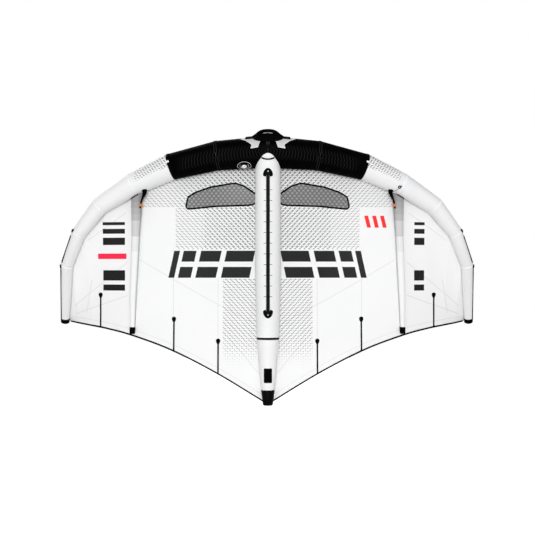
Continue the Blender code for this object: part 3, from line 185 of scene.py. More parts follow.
MINI_RADIUS = 0.0400
MINI_CHORD_SHARES = (-0.054, 0.063, 0.310, 0.643, 0.945, 0.991)
MINI_RADIUS_SHARES = (1.0, 0.868, 0.625, 0.560, 0.440, 0.425)
MINI_SIDES = 48
MINI_ROWS = 70
MINI_FULLER = 0.0026
MINI_SHIFT = 0.0048
MINI_FULL_END = (0.72, 0.93)
# Share of the boot's length, height over the strut's skin
MINI_BOOT = ((-0.02, 0.0002), (0, 0.0012), (0.5, 0.0012), (0.85, 0.0008), (0.96, -0.001), (1.0, -0.005))
FLANK_TURN = 0.03
WELT_X = 0.8660
WELT_HALF = 0.0350
WELT_SHARES = (-0.96, 0.80)
WELT_SEARCH_DROP = 0.24
WELT_OUT = 0.0022

HOSE_RADIUS = 0.0048
HOSE_FREE_RADIUS = HOSE_RADIUS * 1.3
HOSE_PINCH_REACH = (0.010, 0.022)
HOSE_FLARE_RADIUS = 0.0095
HOSE_FLARE_LENGTH = 0.050
HOSE_SIDE_ANGLE = math.radians(37)
HOSE_STAND_OFF = 0.0042
HOSE_ROOT_X = 0.822
HOSE_ROOT_ANGLE = math.radians(-22)
HOSE_CLIP_DROP = 0.3350
HOSE_DIVE = 0.0150
CLIP_LENGTH = 0.0150
CUFF_START = 0.004
CUFF_LENGTH = 0.062
CUFF_RADII = (0.0185, 0.0068)

GRIP_TILT = math.radians(15)
GRIP_RADIUS = 0.010
FINGER_GAP = 0.028
GRIP_HALF_WIDTH = 0.088
# Distance from the middle, height over the tube
GRIP_ARCH = ((0.0950, -0.0160), (0.0879, -0.0094), (0.0783, -0.0016), (0.0683, 0.0066), (0.0575, 0.0165),
             (0.0460, 0.0250), (0.0265, 0.0320), (0.0, 0.0343))
GRIP_THICK = (0.0115, 0.0152)
GRIP_WIDE = (0.0115, 0.0200)
GRIP_WELT_X = 0.058
PAD_THICKNESS = 0.0025
PAD_HALF_WIDTH = 0.097
PAD_HALF_DEPTHS = (0.052, 0.066)
PAD_CROWN = 0.0180
ARM_SPAN = (0.074, 0.139)
ARM_ARC = 0.0330
ARM_HALF_WIDTH = 0.0220
# Distance from the middle, arc from the nose
PALE_PATCH = ((0.168, 0.043), (0.150, 0.018), (0.105, 0.012), (0.085, 0.060), (0.0480, 0.0841),
              (0.0629, 0.1329), (0.106, 0.1375), (0.0984, 0.1124), (0.1365, 0.0692))

VALVE_X_SHARE = 0.477
VALVE_ANGLE = math.radians(-35)
VALVE_RING_SHIFT = 0.004
VALVE_RING_FLAT = 0.8
VALVE_RINGS = (("inner", 0.0290, 0.0018), ("outer", 0.0450, 0.0020))
RING_X_SHARE = 2.92
RING_ANGLE = math.radians(-67.5)
RING_RADIUS = 0.0110
TETHER_END_ANGLE = math.radians(-30)
TETHER_SHIFT = 0.010
CORD_RADIUS = 0.0015
CORD_ROOM = 0.0018
CORD_GROOVE = 0.16
CORD_TWIST = 0.5
EYELET_RADIUS = 0.0112
EYELET_BORE = 0.0042
EYELET_RISE = 0.0016
EYELET_HALF_HEIGHT = 0.0022
TAB_TURN = math.radians(25)

HANDLE_REACH = TUBE_RADIUS + FINGER_GAP + GRIP_RADIUS
HANDLE_OUT = Vector((0, -math.sin(GRIP_TILT), math.cos(GRIP_TILT)))
HANDLE_SIDE = Vector((0, math.cos(GRIP_TILT), math.sin(GRIP_TILT)))
TUBE_MIDDLE = -HANDLE_REACH * HANDLE_OUT
KEEL = -(TUBE_RADIUS + SEAT_GAP + STRUT_PROUD)

FLOOR_HEIGHT = -2.75
FLOOR_HALF_SIZE = 20
SKY_LEVEL = 0.325
# Name, strength, spread in degrees, turn in degrees
LAMPS = (("key", 1.32, 12, (87, 0, -2)), ("top", 0.72, 60, (52, 0, -3)), ("back_fill", 1.5, 40, (-62, 0, 20)))
CAMERA_LENS = 94.33
CAMERA_PLACE = (-0.085, 0.0365 - 9, -0.878)
CAMERA_TURN = (90, 0, -0.528)


def place(x, lift, drop):
    return TUBE_MIDDLE + Vector((x, lift, -drop))


def lerp(a, b, share):
    return a + (b - a) * share


def steps(low, high, count):
    return [lerp(low, high, k / count) for k in range(count + 1)]


def around(sides):
    return [math.tau * k / sides for k in range(sides)]


def soft_step(value, low, high):
    share = min(max((value - low) / (high - low), 0.0), 1.0)
    return share * share * (3 - 2 * share)


def table(values, keys, key):
    for i in range(len(keys) - 1):
        if key <= keys[i + 1]:
            break
    return lerp(values[i], values[i + 1], (key - keys[i]) / (keys[i + 1] - keys[i]))


def smooth(values, index):
    """Value on the smooth curve through a table, at a part row index."""
    last = len(values) - 1
    low = min(int(index), last - 1)
    t = index - low
    before = values[low - 1] if low else 2 * values[low] - values[low + 1]
    after = values[low + 2] if low + 2 <= last else 2 * values[last] - values[last - 1]
    a, b = values[low], values[low + 1]
    return 0.5 * (2 * a + (b - before) * t + (2 * before - 5 * a + 4 * b - after) * t * t
                  + (3 * a - before - 3 * b + after) * t ** 3)


def smooth_path(knots, step):
    ways = [(b - a).normalized() for a, b in zip(knots, knots[1:])]
    turns = [ways[0]] + [(a + b).normalized() for a, b in zip(ways, ways[1:])] + [ways[-1]]
    path = [knots[0]]
    for k, (a, b) in enumerate(zip(knots, knots[1:])):
        length = (b - a).length
        count = max(1, round(length / step))
        for j in range(1, count + 1):
            t = j / count
            start, end = turns[k] * length, turns[k + 1] * length
            rise, fall = t * t * (3 - 2 * t), t * t * (t - 1)
            path.append(a * (1 - rise) + b * rise + start * (t * (1 - t) ** 2) + end * fall)
    return path


# Leading edge tube

def spine():
    """Centre and radius of the tube at each seam, from the left tip to the right one."""
    shares = zip(SPAN_SHARES, LIFT_SHARES, SWEEP_SHARES, TUBE_RADIUS_SHARES)
    right = [(place(HALF_SPAN * x, TIP_LIFT * l, SWEEP * d), TUBE_RADIUS * r) for x, l, d, r in shares]
    return [(Vector((-p.x, p.y, p.z)), r) for p, r in reversed(right[1:])] + right


SPINE = spine()


def ring_point(station, angle, offset):
    """Point of a mitred ring: angle 0 faces the trailing edge and 90 degrees the upper side."""
    centre, radius = SPINE[station]
    before = centre - SPINE[station - 1][0] if station else SPINE[1][0] - centre
    after = SPINE[station + 1][0] - centre if station < TUBE_END else before
    before = before.normalized()
    after = after.normalized()
    along = (before + after).normalized()
    top = (Vector((0, 1, 0)) - along * along.y).normalized()
    out = top.cross(along) * math.cos(angle) + top * math.sin(angle)
    bend = after - before
    if bend.length > 0:
        bend.normalize()
        out = out + bend * out.dot(bend) * (1 / along.dot(after) - 1)
    return centre + out * (radius + offset)


def between(at_seam, t):
    station = min(int(t), TUBE_END - 1)
    return lerp(at_seam(station), at_seam(station + 1), t - station)


def tube_point(t, angle, offset=0.0):
    return between(lambda station: ring_point(station, angle, offset), t)


def tube_centre(t):
    return between(lambda station: SPINE[station][0], t)


def tube_size(t):
    return between(lambda station: SPINE[station][1], t)


def bay_length(station):
    return (SPINE[station + 1][0] - SPINE[station][0]).length


# Centre strut and canopy

def strut_radius(drop):
    places = [STRUT_LENGTH * s for s in STRUT_LENGTH_SHARES]
    return table([STRUT_RADIUS * s for s in STRUT_RADIUS_SHARES], places, drop)


def strut_top(drop):
    keel_end = STRUT_LENGTH * STRUT_KEEL_SHARE
    if drop <= keel_end:
        return KEEL + 2 * strut_radius(drop)
    start = KEEL + 2 * strut_radius(keel_end)
    return lerp(start, STRUT_TAIL_TOP, (drop - keel_end) / (STRUT_LENGTH - keel_end))


def strut_point(drop, angle, offset=0.0):
    """Point round the strut: angle 0 faces the upper side and 90 degrees the right."""
    reach = strut_radius(drop) + offset
    return place(0, strut_top(drop) - strut_radius(drop), drop) + Vector(
        (reach * math.sin(angle), reach * math.cos(angle), 0))


def chord_ends(s):
    front = tube_point(MIDDLE + s, ATTACH_ANGLE, SEAT_GAP + CANOPY_THICKNESS / 2)
    trail = place(HALF_SPAN * smooth(TRAIL_SPAN_SHARES, s), TIP_LIFT * smooth(TRAIL_LIFT_SHARES, s),
                  smooth(TRAIL_DROPS, s))
    return front, trail + (front - trail).normalized() * (HEM_WIDTH + SEAT_GAP)


def seat_height(point):
    drop = min(max(TUBE_MIDDLE.z - point.z, 0.0), STRUT_LENGTH)
    return TUBE_MIDDLE.y + strut_top(drop) + SHEET_SEAT


def centre_lift(v):
    front, trail = chord_ends(0)
    straight = lerp(front, trail, v)
    fall = (1 - min(max(v, 0.0), 1.0)) ** FRONT_FALL_POWER
    return seat_height(straight) + (front.y - seat_height(front)) * fall - straight.y


def surface_point(s, v):
    """Right half of the canopy, at a part seam index from the middle and a share of the chord."""
    point = lerp(*chord_ends(s), v)
    inner = s < MINI_STRUT_SEAM
    bay = s / MINI_STRUT_SEAM if inner else (s - MINI_STRUT_SEAM) / (SEAMS - MINI_STRUT_SEAM)
    wave = math.sin(math.pi * min(max(v, 0.0), 1.0))
    centre_share = max(0.0, 1 - s / CENTRE_REACH_SHARE) ** 2
    outer_share = 1 - s / SEAMS
    point.y += wave * BILLOW * outer_share * math.sin(math.pi * bay) ** 2
    point.y += wave * CAMBER * outer_share * (1 - centre_share)
    if centre_share:
        point.y += centre_share * centre_lift(v)
    return point


def surface_normal(s, v):
    step = 0.02
    across = surface_point(min(s + step, SEAMS), v) - surface_point(max(s - step, 0.0), v)
    along = surface_point(s, min(v + step, 1.0)) - surface_point(s, max(v - step, 0.0))
    return across.cross(along).normalized()


def canopy_point(s, v, sign=1, lift=0.0):
    point = surface_point(s, v)
    if lift:
        point = point + surface_normal(s, v) * lift
    return Vector((point.x * sign, point.y, point.z))


# Mesh tools

CREASE = math.radians(40)


def mesh_of(name, shape):
    mesh = bpy.data.meshes.new(name)
    shape.to_mesh(mesh)
    shape.free()
    return mesh


def into_scene(name, data, turn=(0, 0, 0)):
    thing = bpy.data.objects.new(name, data)
    thing.rotation_euler = [math.radians(a) for a in turn]
    bpy.context.scene.collection.objects.link(thing)
    return thing


def make(name, shape, finish, stands_for=()):
    """Puts a bmesh in the scene as a piece that rides on the wing, and hides the nodes it stands for."""
    mesh = mesh_of(name, shape)
    mesh.materials.append(finish.material)
    mesh.shade_smooth()
    mesh.set_sharp_from_angle(angle=CREASE)
    piece = into_scene(name, mesh)
    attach(piece, "wing")
    if stands_for:
        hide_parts(*stands_for)
    return piece


def right_way_out(shape):
    bmesh.ops.recalc_face_normals(shape, faces=shape.faces)
    return shape


def skin(rows, closed=False, lay=None):
    """Quads through rows of points; lay is the distance of each row and column, in metres."""
    shape = bmesh.new()
    cloth = shape.loops.layers.uv.new("lay")
    grid = [[shape.verts.new(p) for p in row] for row in rows]
    width = len(rows[0])
    downs, acrosses = lay or ([0.0], [0.0])
    if lay is None:
        for a, b in zip(rows, rows[1:]):
            downs.append(downs[-1] + sum((q - p).length for p, q in zip(a, b)) / width)
        middle = rows[len(rows) // 2]
        for p, q in zip(middle, middle[1:] + middle[:1]):
            acrosses.append(acrosses[-1] + (q - p).length)
    for i in range(len(grid) - 1):
        for j in range(width if closed else width - 1):
            n = (j + 1) % width
            corners = ((i, j, j), (i, n, j + 1), (i + 1, n, j + 1), (i + 1, j, j))
            face = shape.faces.new([grid[row][column] for row, column, _ in corners])
            for loop, (row, _, column) in zip(face.loops, corners):
                loop[cloth].uv = (downs[row], acrosses[column])
    return right_way_out(shape)


def solid(rows):
    """Skin round rings of points, with its two ends capped."""
    shape = skin(rows, closed=True)
    bmesh.ops.holes_fill(shape, edges=[e for e in shape.edges if e.is_boundary], sides=0)
    return right_way_out(shape)


def hoop(rows):
    """Skin round rings of points that come back to the first one."""
    shape = skin(rows + rows[:1], closed=True)
    bmesh.ops.remove_doubles(shape, verts=shape.verts, dist=1e-6)
    return right_way_out(shape)


def evaluated(piece):
    """Makes a piece's modifiers final."""
    depsgraph = bpy.context.evaluated_depsgraph_get()
    mesh = bpy.data.meshes.new_from_object(piece.evaluated_get(depsgraph))
    piece.modifiers.clear()
    piece.data = mesh
    mesh.set_sharp_from_angle(angle=CREASE)


def surface_of(*names):
    """Search tree over the surfaces of pieces, to lay trim on."""
    whole = bmesh.new()
    for name in names:
        whole.from_mesh(bpy.data.objects[name].data)
    tree = BVHTree.FromBMesh(whole)
    whole.free()
    return tree


def met(surface, x, z):
    """True where a line from below meets a surface."""
    return surface.ray_cast(Vector((x, -HALF_SPAN, z)), Vector((0, 1, 0)))[0] is not None


# Where trim is put: each gives the place of (u, v) on a surface, a distance out of it

def seen_from_below(surface, way=(0, 1, 0)):
    """Places of (x, z) on a surface that is met along a way."""
    way = Vector(way)

    def put(x, z, out):
        start = Vector((x, 0, z))
        hit, normal, _, _ = surface.ray_cast(start - way * HALF_SPAN, way)
        if hit is None:
            hit, normal, _, _ = surface.find_nearest(start)
        return hit + normal * (-out if normal.dot(way) > 0 else out)
    return put


def round_tube(station):
    """Places of (distance from a seam, arc from the nose towards the underside) on the leading edge."""
    radius = SPINE[station][1]

    def put(distance, arc, out):
        bay = bay_length(station if distance > 0 else station - 1)
        return tube_point(station + distance / bay, math.pi + arc / radius, out)
    return put


def round_strut(arc, drop, out):
    """Place of (arc from the keel to the right, distance behind the tube's middle) on the centre strut."""
    return strut_point(drop, math.pi - arc / strut_radius(drop), out)


# Flat outlines and paths

def slab(u, v, half_u, half_v, corner, arc_steps=4):
    """Outline of an oblong with round corners."""
    points = []
    for turn, (side_u, side_v) in enumerate(((1, 1), (-1, 1), (-1, -1), (1, -1))):
        for k in range(arc_steps + 1):
            angle = math.pi / 2 * (turn + k / arc_steps)
            points.append((u + side_u * (half_u - corner) + corner * math.cos(angle),
                           v + side_v * (half_v - corner) + corner * math.sin(angle)))
    return points


def rounded(outline, share=0.25, times=2):
    """Outline with its corners cut round."""
    points = [Vector(p) for p in outline]
    for _ in range(times):
        sides = zip(points, points[1:] + points[:1])
        points = [q for a, b in sides for q in (a.lerp(b, share), b.lerp(a, share))]
    return [tuple(p) for p in points]


def walk(points, step=0.008, loop=False):
    """Points along straight runs, a step apart."""
    ends = list(zip(points, points[1:] + points[:1]))
    path = []
    for a, b in ends if loop else ends[:-1]:
        count = max(1, round((Vector(b) - Vector(a)).length / step))
        path += [(lerp(a[0], b[0], k / count), lerp(a[1], b[1], k / count)) for k in range(count)]
    return path if loop else path + [points[-1]]


def bulged(value, power):
    """A number raised to a power, with its sign kept."""
    return math.copysign(abs(value) ** power, value)


def patch(outline, put, height, pitch=0.008, soft=0.0012, edge_share=0.4):
    """Patch cut to a flat outline and put on a surface; its height may be a function of (u, v)."""
    flat = bmesh.new()
    whole = flat.faces.new([flat.verts.new((u, v, 0)) for u, v in outline])
    bmesh.ops.inset_region(flat, faces=[whole], thickness=soft, use_even_offset=True)
    for axis in (0, 1):
        places = [v.co[axis] for v in flat.verts]
        normal = Vector((axis == 0, axis == 1, 0))
        for k in range(math.floor(min(places) / pitch) + 1, math.ceil(max(places) / pitch)):
            bmesh.ops.bisect_plane(flat, geom=flat.verts[:] + flat.edges[:] + flat.faces[:],
                                   plane_co=normal * (k * pitch), plane_no=normal)
    shape = bmesh.new()
    cloth = shape.loops.layers.uv.new("lay")
    tops, bottoms = {}, {}
    for v in flat.verts:
        rise = (height(v.co.x, v.co.y) if callable(height) else height) * (edge_share if v.is_boundary else 1)
        tops[v] = shape.verts.new(put(v.co.x, v.co.y, rise))
        bottoms[v] = shape.verts.new(put(v.co.x, v.co.y, -TRIM_SINK))
    faces = [[(side[v], v) for v in f.verts] for f in flat.faces for side in (tops, bottoms)]
    for a, b in (e.verts for e in flat.edges if e.is_boundary):
        faces.append([(tops[a], a), (tops[b], b), (bottoms[b], b), (bottoms[a], a)])
    for corners in faces:
        face = shape.faces.new([vert for vert, _ in corners])
        for loop, (_, v) in zip(face.loops, corners):
            loop[cloth].uv = (v.co.x, v.co.y)
    flat.free()
    return right_way_out(shape)


def tape_section(width, height):
    """Section of a flat tape as (across, out) points, its edges a little rounded."""
    half, round_off = width / 2, min(height, width / 6)
    right = [(half - round_off, height), (half, height * 0.45), (half, -TRIM_SINK)]
    return [(-across, out) for across, out in reversed(right)] + right


def ribbon(path, put, width, height, loop=False):
    """Tape or thread along a flat path of (u, v) points, put on a surface."""
    rows = []
    last = len(path) - 1
    for k, (u, v) in enumerate(path):
        before = path[k - 1] if k or loop else path[0]
        after = path[(k + 1) % len(path)] if k < last or loop else path[last]
        along = Vector((after[0] - before[0], after[1] - before[1])).normalized()
        rows.append([put(u - along.y * a, v + along.x * a, out) for a, out in tape_section(width, height)])
    return hoop(rows) if loop else solid(rows)


def along_path(path):
    """Each point of a path with the path's direction there."""
    befores, afters = path[:1] + path[:-1], path[1:] + path[-1:]
    return [(point, (after - before).normalized()) for before, point, after in zip(befores, path, afters)]


def pipe_rings(path, radius, sides):
    """Rings square to a path, for a hose or cord; the radius is a function of the point's index."""
    rings = []
    for k, (point, along) in enumerate(along_path(path)):
        side = along.cross(Vector((0, 1, 0))).normalized()
        top = side.cross(along)
        rings.append([point + (side * math.cos(a) + top * math.sin(a)) * radius(k) for a in around(sides)])
    return rings


def turned(profile, sides, matrix):
    """Rings of a turned piece from (radius, height) points, put in place."""
    return [[matrix @ Vector((r * math.cos(a), r * math.sin(a), height)) for a in around(sides)]
            for r, height in profile]


# Finishes

WEAVE_PITCH = 0.0011
DASH_ROW = 0.0165
DASH_PITCH = 0.0305
DASH_LENGTH = 0.0230
DASH_WIDTH = 0.0070
DASH_LEAN = 0.55
DASH_PANEL = (0.635, 0.865)
RIB_PITCH = 0.0195
GREY_BANDS = ((-0.774, 236), (-0.6755, 211), (-0.573, 188), (-0.531, 178), (-0.492, 168), (-0.453, 158))
RIPSTOP_PITCH = 0.0052
CANOPY_SEAMS = (
    ((0.615, -0.765), (0.612, -1.230)),
    ((0.322, -0.950), (0.322, -1.390)),
    ((0.915, -0.842), (1.290, -1.135)),
    ((0.915, -1.060), (1.290, -1.190)),
    ((0.925, -0.520), (1.190, -0.700)),
    ((0.835, -0.826), (0.602, -0.963)),
    ((0.602, -0.963), (0.408, -1.072)),
    ((0.408, -1.072), (0.090, -1.240)),
    ((0.060, -1.560), (0.250, -1.330)),
    ((1.205, -1.180), (1.165, -0.960)),
)
CANOPY_SEAM_WIDTH = 0.0022
BAR_MIDDLE = -0.857
BAR_HALF = 0.088
BAR_LEAN = 0.22
BAR_SLOT = (0.016, 0.018)
BIG_BARS = ((0.100, 0.285), (0.318, 0.452), (0.482, 0.566), (0.590, 0.628))
SLOTTED_FROM = 0.06
SIDE_BARS = ((-0.590, 0.010), (-0.640, 0.016), (-0.706, 0.024), (-0.930, 0.034), (-1.010, 0.020))
SIDE_BAR_SPANS = ((-1, 0.935, 1.085), (1, 0.965, 1.035))
RED_BARS = (0.640, 0.692, 0.744)
CROSS_PITCH = 0.0290
CROSS_ROW = 0.0345
CROSS_HALF = 0.0058


def shade(red, green=None, blue=None):
    """Colour from its shades of 0 to 255, as the eye sees them."""
    parts = [(red if part is None else part) / 255 for part in (red, green, blue)]
    return tuple(c / 12.92 if c <= 0.04045 else ((c + 0.055) / 1.055) ** 2.4 for c in parts)


def math_step(operation):
    """A Signal's method that adds one Math node."""
    return lambda self, *others: self.maths(operation, self, *others)


class Signal:
    """One output of a finish's nodes. Arithmetic on it adds Math nodes."""

    __add__ = math_step("ADD")
    __sub__ = math_step("SUBTRACT")
    __mul__ = math_step("MULTIPLY")
    __truediv__ = math_step("DIVIDE")
    __pow__ = math_step("POWER")
    __abs__ = math_step("ABSOLUTE")
    sine = math_step("SINE")
    whole = math_step("FLOOR")

    def __init__(self, finish, socket):
        self.finish = finish
        self.socket = socket

    def maths(self, operation, *values):
        return self.finish.node("ShaderNodeMath", {"operation": operation}, dict(enumerate(values)))

    def __rsub__(self, other):
        return self.maths("SUBTRACT", other, self)

    def odd(self):
        """0 and 1 by turns, for whole numbers."""
        return self.maths("FLOORED_MODULO", self, 2.0)

    def wave(self, pitch):
        """Rises and falls between 0 and 1 once in a pitch."""
        return (self * (math.tau / pitch)).sine() * 0.5 + 0.5

    def most(self, *others):
        top = self
        for other in others:
            top = top.maths("MAXIMUM", top, other)
        return top

    def within(self, size):
        """Place inside a repeat of this size, from minus half to half of it."""
        return self.maths("FLOORED_MODULO", self + size / 2, size) - size / 2

    def rise(self, low, high):
        """0 below low and 1 above high, on a soft step between them."""
        inputs = {"Value": self, "From Min": low, "From Max": high}
        return self.finish.node("ShaderNodeMapRange", {"interpolation_type": "SMOOTHSTEP"}, inputs)

    def fall(self, low, high):
        """1 below low and 0 above high, on a soft step between them."""
        return 1 - self.rise(low, high)

    def band(self, low, high, soft=0.0008):
        """1 between low and high, with soft edges."""
        return self.rise(low - soft, low + soft) * self.fall(high - soft, high + soft)


class Nodes:
    """The node tree of a material or world, built up by its signals."""

    def __init__(self, owner):
        owner.use_nodes = True
        self.tree = owner.node_tree

    def give(self, socket, value):
        if isinstance(value, Signal):
            self.tree.links.new(value.socket, socket)
        elif isinstance(value, tuple) and len(value) == 3 and socket.type == "RGBA":
            socket.default_value = (*value, 1)
        else:
            socket.default_value = value

    def node(self, kind, settings=None, inputs=None, out=0):
        made = self.tree.nodes.new(kind)
        for key, value in (settings or {}).items():
            setattr(made, key, value)
        sockets = {socket.identifier: socket for socket in made.inputs}
        for key, value in (inputs or {}).items():
            self.give(made.inputs[key] if isinstance(key, int) else sockets[key], value)
        return Signal(self, made.outputs[out])


class Finish(Nodes):
    """A material built from nodes round one surface shader, for a slot of the record."""

    def __init__(self, name, slot=None, **surface):
        self.slot = slot or name
        self.material = bpy.data.materials.new(name)
        super().__init__(self.material)
        self.shader = self.tree.nodes["Principled BSDF"]
        self.surface(**surface)

    def surface(self, **inputs):
        for key, value in inputs.items():
            self.give(self.shader.inputs[key.replace("_", " ").title().replace("Ior", "IOR")], value)

    def split(self, vector):
        return [self.node("ShaderNodeSeparateXYZ", {}, {0: vector}, k) for k in range(3)]

    def places(self):
        """X, Y and Z on the wing."""
        return self.split(self.node("ShaderNodeTexCoord", out="Object"))

    def lay(self):
        """Distance along and across a piece, from its cloth layer."""
        return self.split(self.node("ShaderNodeUVMap", {"uv_map": "lay"}))[:2]

    def grain(self, scale, detail=2.0, vector=None):
        vector = vector or self.node("ShaderNodeTexCoord", out="Object")
        return self.node("ShaderNodeTexNoise", {}, {"Vector": vector, "Scale": scale, "Detail": detail})

    def vector(self, x, y):
        return self.node("ShaderNodeCombineXYZ", {}, {0: x, 1: y})

    def mix(self, share, first, second):
        inputs = {"Factor_Float": share, "A_Color": first, "B_Color": second}
        return self.node("ShaderNodeMix", {"data_type": "RGBA"}, inputs, 2)

    def relief(self, height, depth, strength):
        """Bumps of a height signal, where 1 stands for a depth in metres."""
        inputs = {"Height": height, "Distance": depth, "Strength": strength}
        self.give(self.shader.inputs["Normal"], self.node("ShaderNodeBump", {}, inputs))


def behind_tube(a, z):
    """Distance behind the leading edge's middle line, from its bow in plan."""
    return TUBE_MIDDLE.z - z - a * a * TUBE_BOW - a ** 6 * TUBE_TIP_BOW


def dashes(x, z, fill):
    """Rows of short strokes that lean outwards, shorter where there is less fill."""
    across = (x + (z / DASH_ROW).whole().odd() * (DASH_PITCH / 2)).within(DASH_PITCH)
    along = z.within(DASH_ROW)
    stroke = abs(along + across * DASH_LEAN).fall(DASH_WIDTH * 0.35, DASH_WIDTH * 0.65)
    return stroke * (fill * (DASH_LENGTH / 2) - abs(across)).rise(0.0, DASH_WIDTH * 0.4)


def tube_cloth(name, base, worn, specular, print_and_painted_shade=None, slot=None):
    """Coated plain weave, whose warp and weft rise in turn, with blotches and fine creases."""
    cloth = Finish(name, slot, roughness=0.6, specular_ior_level=specular)
    u, v = cloth.lay()
    blotch = cloth.grain(7.0, 3.0)
    creases = cloth.grain(1.0, 2.0, cloth.vector(u * 9.0, v * 55.0)).rise(0.45, 0.8)
    warp, weft = (u * (math.tau / WEAVE_PITCH)).sine(), (v * (math.tau / WEAVE_PITCH)).sine()
    height = (warp * weft * 0.5 + 0.5) * 0.12 + creases * 0.5 + blotch * 0.5
    colour = cloth.mix(blotch.rise(0.35, 0.75), base, worn)
    # The given function adds print, and on the white and grey cloth painted shade too.
    if print_and_painted_shade:
        x, _, z = cloth.places()
        colour, height = print_and_painted_shade(cloth, abs(x), z, colour, height)
    cloth.surface(base_color=colour)
    cloth.relief(height, 0.0011, 0.6)
    return cloth


def front_dashes_and_painted_shade(cloth, a, z, colour, height):
    """Pattern on the nose side of the first white panel of each side, with painted shade beside the seams and
    towards the tips.
    """
    fill = a.band(*DASH_PANEL, 0.012) * behind_tube(a, z).fall(-0.012, 0.010)
    stroke = dashes(a, z - a * 0.45, fill * a.fall(DASH_PANEL[0], DASH_PANEL[1] * 1.5))
    # Painted shade: a grey band at the start of each white panel, along one side of its seam.
    colour = cloth.mix(cloth.lay()[0].fall(0.005, 0.011) * 0.5, colour, shade(222))
    # Painted shade: the white cloth greys towards the tips.
    colour = cloth.mix(a.rise(1.18, 1.36) * 0.8, colour, shade(232))
    return cloth.mix(stroke * 0.80, colour, shade(58)), height


def rib_lines(cloth, a, z, colour, height):
    """Fine raised ribs that bow round the strut's nose in the dark panels."""
    behind = behind_tube(a, z) - 0.006
    bow = (a * a + behind * behind * 2.6) ** 0.5
    wave = (behind * 190.0).sine() * 0.0022
    line = abs((bow + wave).within(RIB_PITCH)).fall(0.0016, 0.0036)
    line = line * abs(behind).fall(0.030, 0.056) * a.fall(0.52, 0.60)
    return cloth.mix(line, colour, shade(29)), height + line * 0.5


def graded(cloth, a, z, colour, height):
    """Short strut cloth, in bands that get darker towards the tube, with painted shade on its flanks."""
    for low, grey in GREY_BANDS:
        colour = cloth.mix(z.rise(low - 0.002, low + 0.002), colour, shade(grey))
    # Painted shade along both flanks, a quarter turn either side of the underside.
    turn = cloth.lay()[1] - FLANK_TURN * math.pi
    flank_shade = abs(abs(turn) - FLANK_TURN * math.pi / 2).fall(FLANK_TURN * 0.22, FLANK_TURN * 0.60)
    return cloth.mix(flank_shade * 0.55, colour, shade(96)), height


def stroke_line(x, z, start, end):
    """Thin line between two places on the canopy, 1 on it."""
    run = Vector(end) - Vector(start)
    way = run.normalized()
    along = (x - start[0]) * way.x + (z - start[1]) * way.y
    off = (x - start[0]) * way.y - (z - start[1]) * way.x
    return abs(off).fall(CANOPY_SEAM_WIDTH * 0.5, CANOPY_SEAM_WIDTH) * along.band(0.0, run.length)


def canopy_strokes(a, z):
    """Dashes of the canopy's print, 1 where there is ink: near the tube, in the middle and by the strut."""
    front = z.rise(-0.762, -0.756)
    near_tube = z.rise(-0.490, -0.478) * a.fall(0.80, 0.86) * a.fall(0.20, 1.70)
    beside_strut = a.fall(0.285, 0.295) * z.rise(-1.66, -1.25) * z.fall(-0.955, -0.945)
    fill = near_tube.most(a.fall(0.40, 0.46) * front * 0.95, a.fall(0.595, 0.605) * front * 0.74,
                          beside_strut * 0.72)
    return dashes(a, z, fill) * fill.rise(0.05, 0.55)


def canopy_bars(x, a, z):
    """Plain bars of the canopy's print: slanted ones with a slot in the middle, level ones by the tips."""
    bars = []
    slanted = z.band(BAR_MIDDLE - BAR_HALF, BAR_MIDDLE + BAR_HALF)
    slot = abs(z - BAR_MIDDLE).rise(*BAR_SLOT)
    for start, end in BIG_BARS:
        bar = (a + (z - BAR_MIDDLE) * BAR_LEAN).band(start, end) * slanted
        bars.append(bar * slot if end - start > SLOTTED_FROM else bar)
    for side, low, high in SIDE_BAR_SPANS:
        bars += [(x * side).band(low, high) * z.band(middle - half, middle + half)
                 for middle, half in SIDE_BARS]
    return bars[0].most(*bars[1:])


def canopy_cloth():
    cloth = Finish("canopy_cloth", roughness=0.55, specular_ior_level=0.25)
    x, _, z = cloth.places()
    a = abs(x)
    squares = [abs(way.within(RIPSTOP_PITCH)).fall(0.0, 0.0005) for way in (x, z)]
    lines = [stroke_line(a, z, start, end) for start, end in CANOPY_SEAMS]
    seams = lines[0].most(*lines[1:])
    plain = cloth.mix(cloth.grain(2.2, 3.0).rise(0.3, 0.8), shade(246), shade(243, 244, 244))
    plain = cloth.mix(a.rise(0.865, 0.875), plain, shade(246))
    colour = cloth.mix(seams * 0.55, plain, shade(196))
    colour = cloth.mix(canopy_strokes(a, z) * (a.fall(0.12, 0.62) * 0.24 + 0.72), colour, shade(34))
    colour = cloth.mix(canopy_bars(x, a, z), colour, shade(20))
    rose = (x * -1).band(0.925, 1.120) * z.band(-0.822, -0.786)
    colour = cloth.mix(rose, colour, shade(255, 36, 74))
    for low in RED_BARS:
        bar = (x + (z + 0.58) * 0.25).band(low, low + 0.026) * z.band(-0.618, -0.540)
        colour = cloth.mix(bar, colour, shade(255, 40, 44))
    cloth.surface(base_color=colour)
    cloth.relief(squares[0].most(squares[1]) * 0.4 + cloth.grain(3.0, 3.0) * 0.6 + seams * 0.5, 0.0012, 0.35)
    return cloth


def cross_marks(x, z):
    x, z = abs(x.within(CROSS_PITCH)), abs(z.within(CROSS_ROW))
    return abs(x - z * 1.25).fall(0.0011, 0.0026) * x.most(z).fall(CROSS_HALF, CROSS_HALF + 0.001)


def window_film():
    film = Finish("window_film", roughness=0.3, specular_ior_level=0.4, coat_weight=0.1)
    x, _, z = film.places()
    marks = cross_marks(x, z).most(cross_marks(x + CROSS_PITCH / 2, z + CROSS_ROW / 2))
    first, second = [abs((x + z * lean).within(CROSS_PITCH / 2)).fall(0.0003, 0.0012)
                     for lean in (0.85, -0.85)]
    threads = first.most(second)
    colour = film.mix(threads * 0.30, shade(104), shade(140))
    film.surface(base_color=film.mix(marks * 0.80, colour, shade(206)))
    film.relief(threads.most(marks), 0.0004, 0.5)
    return film


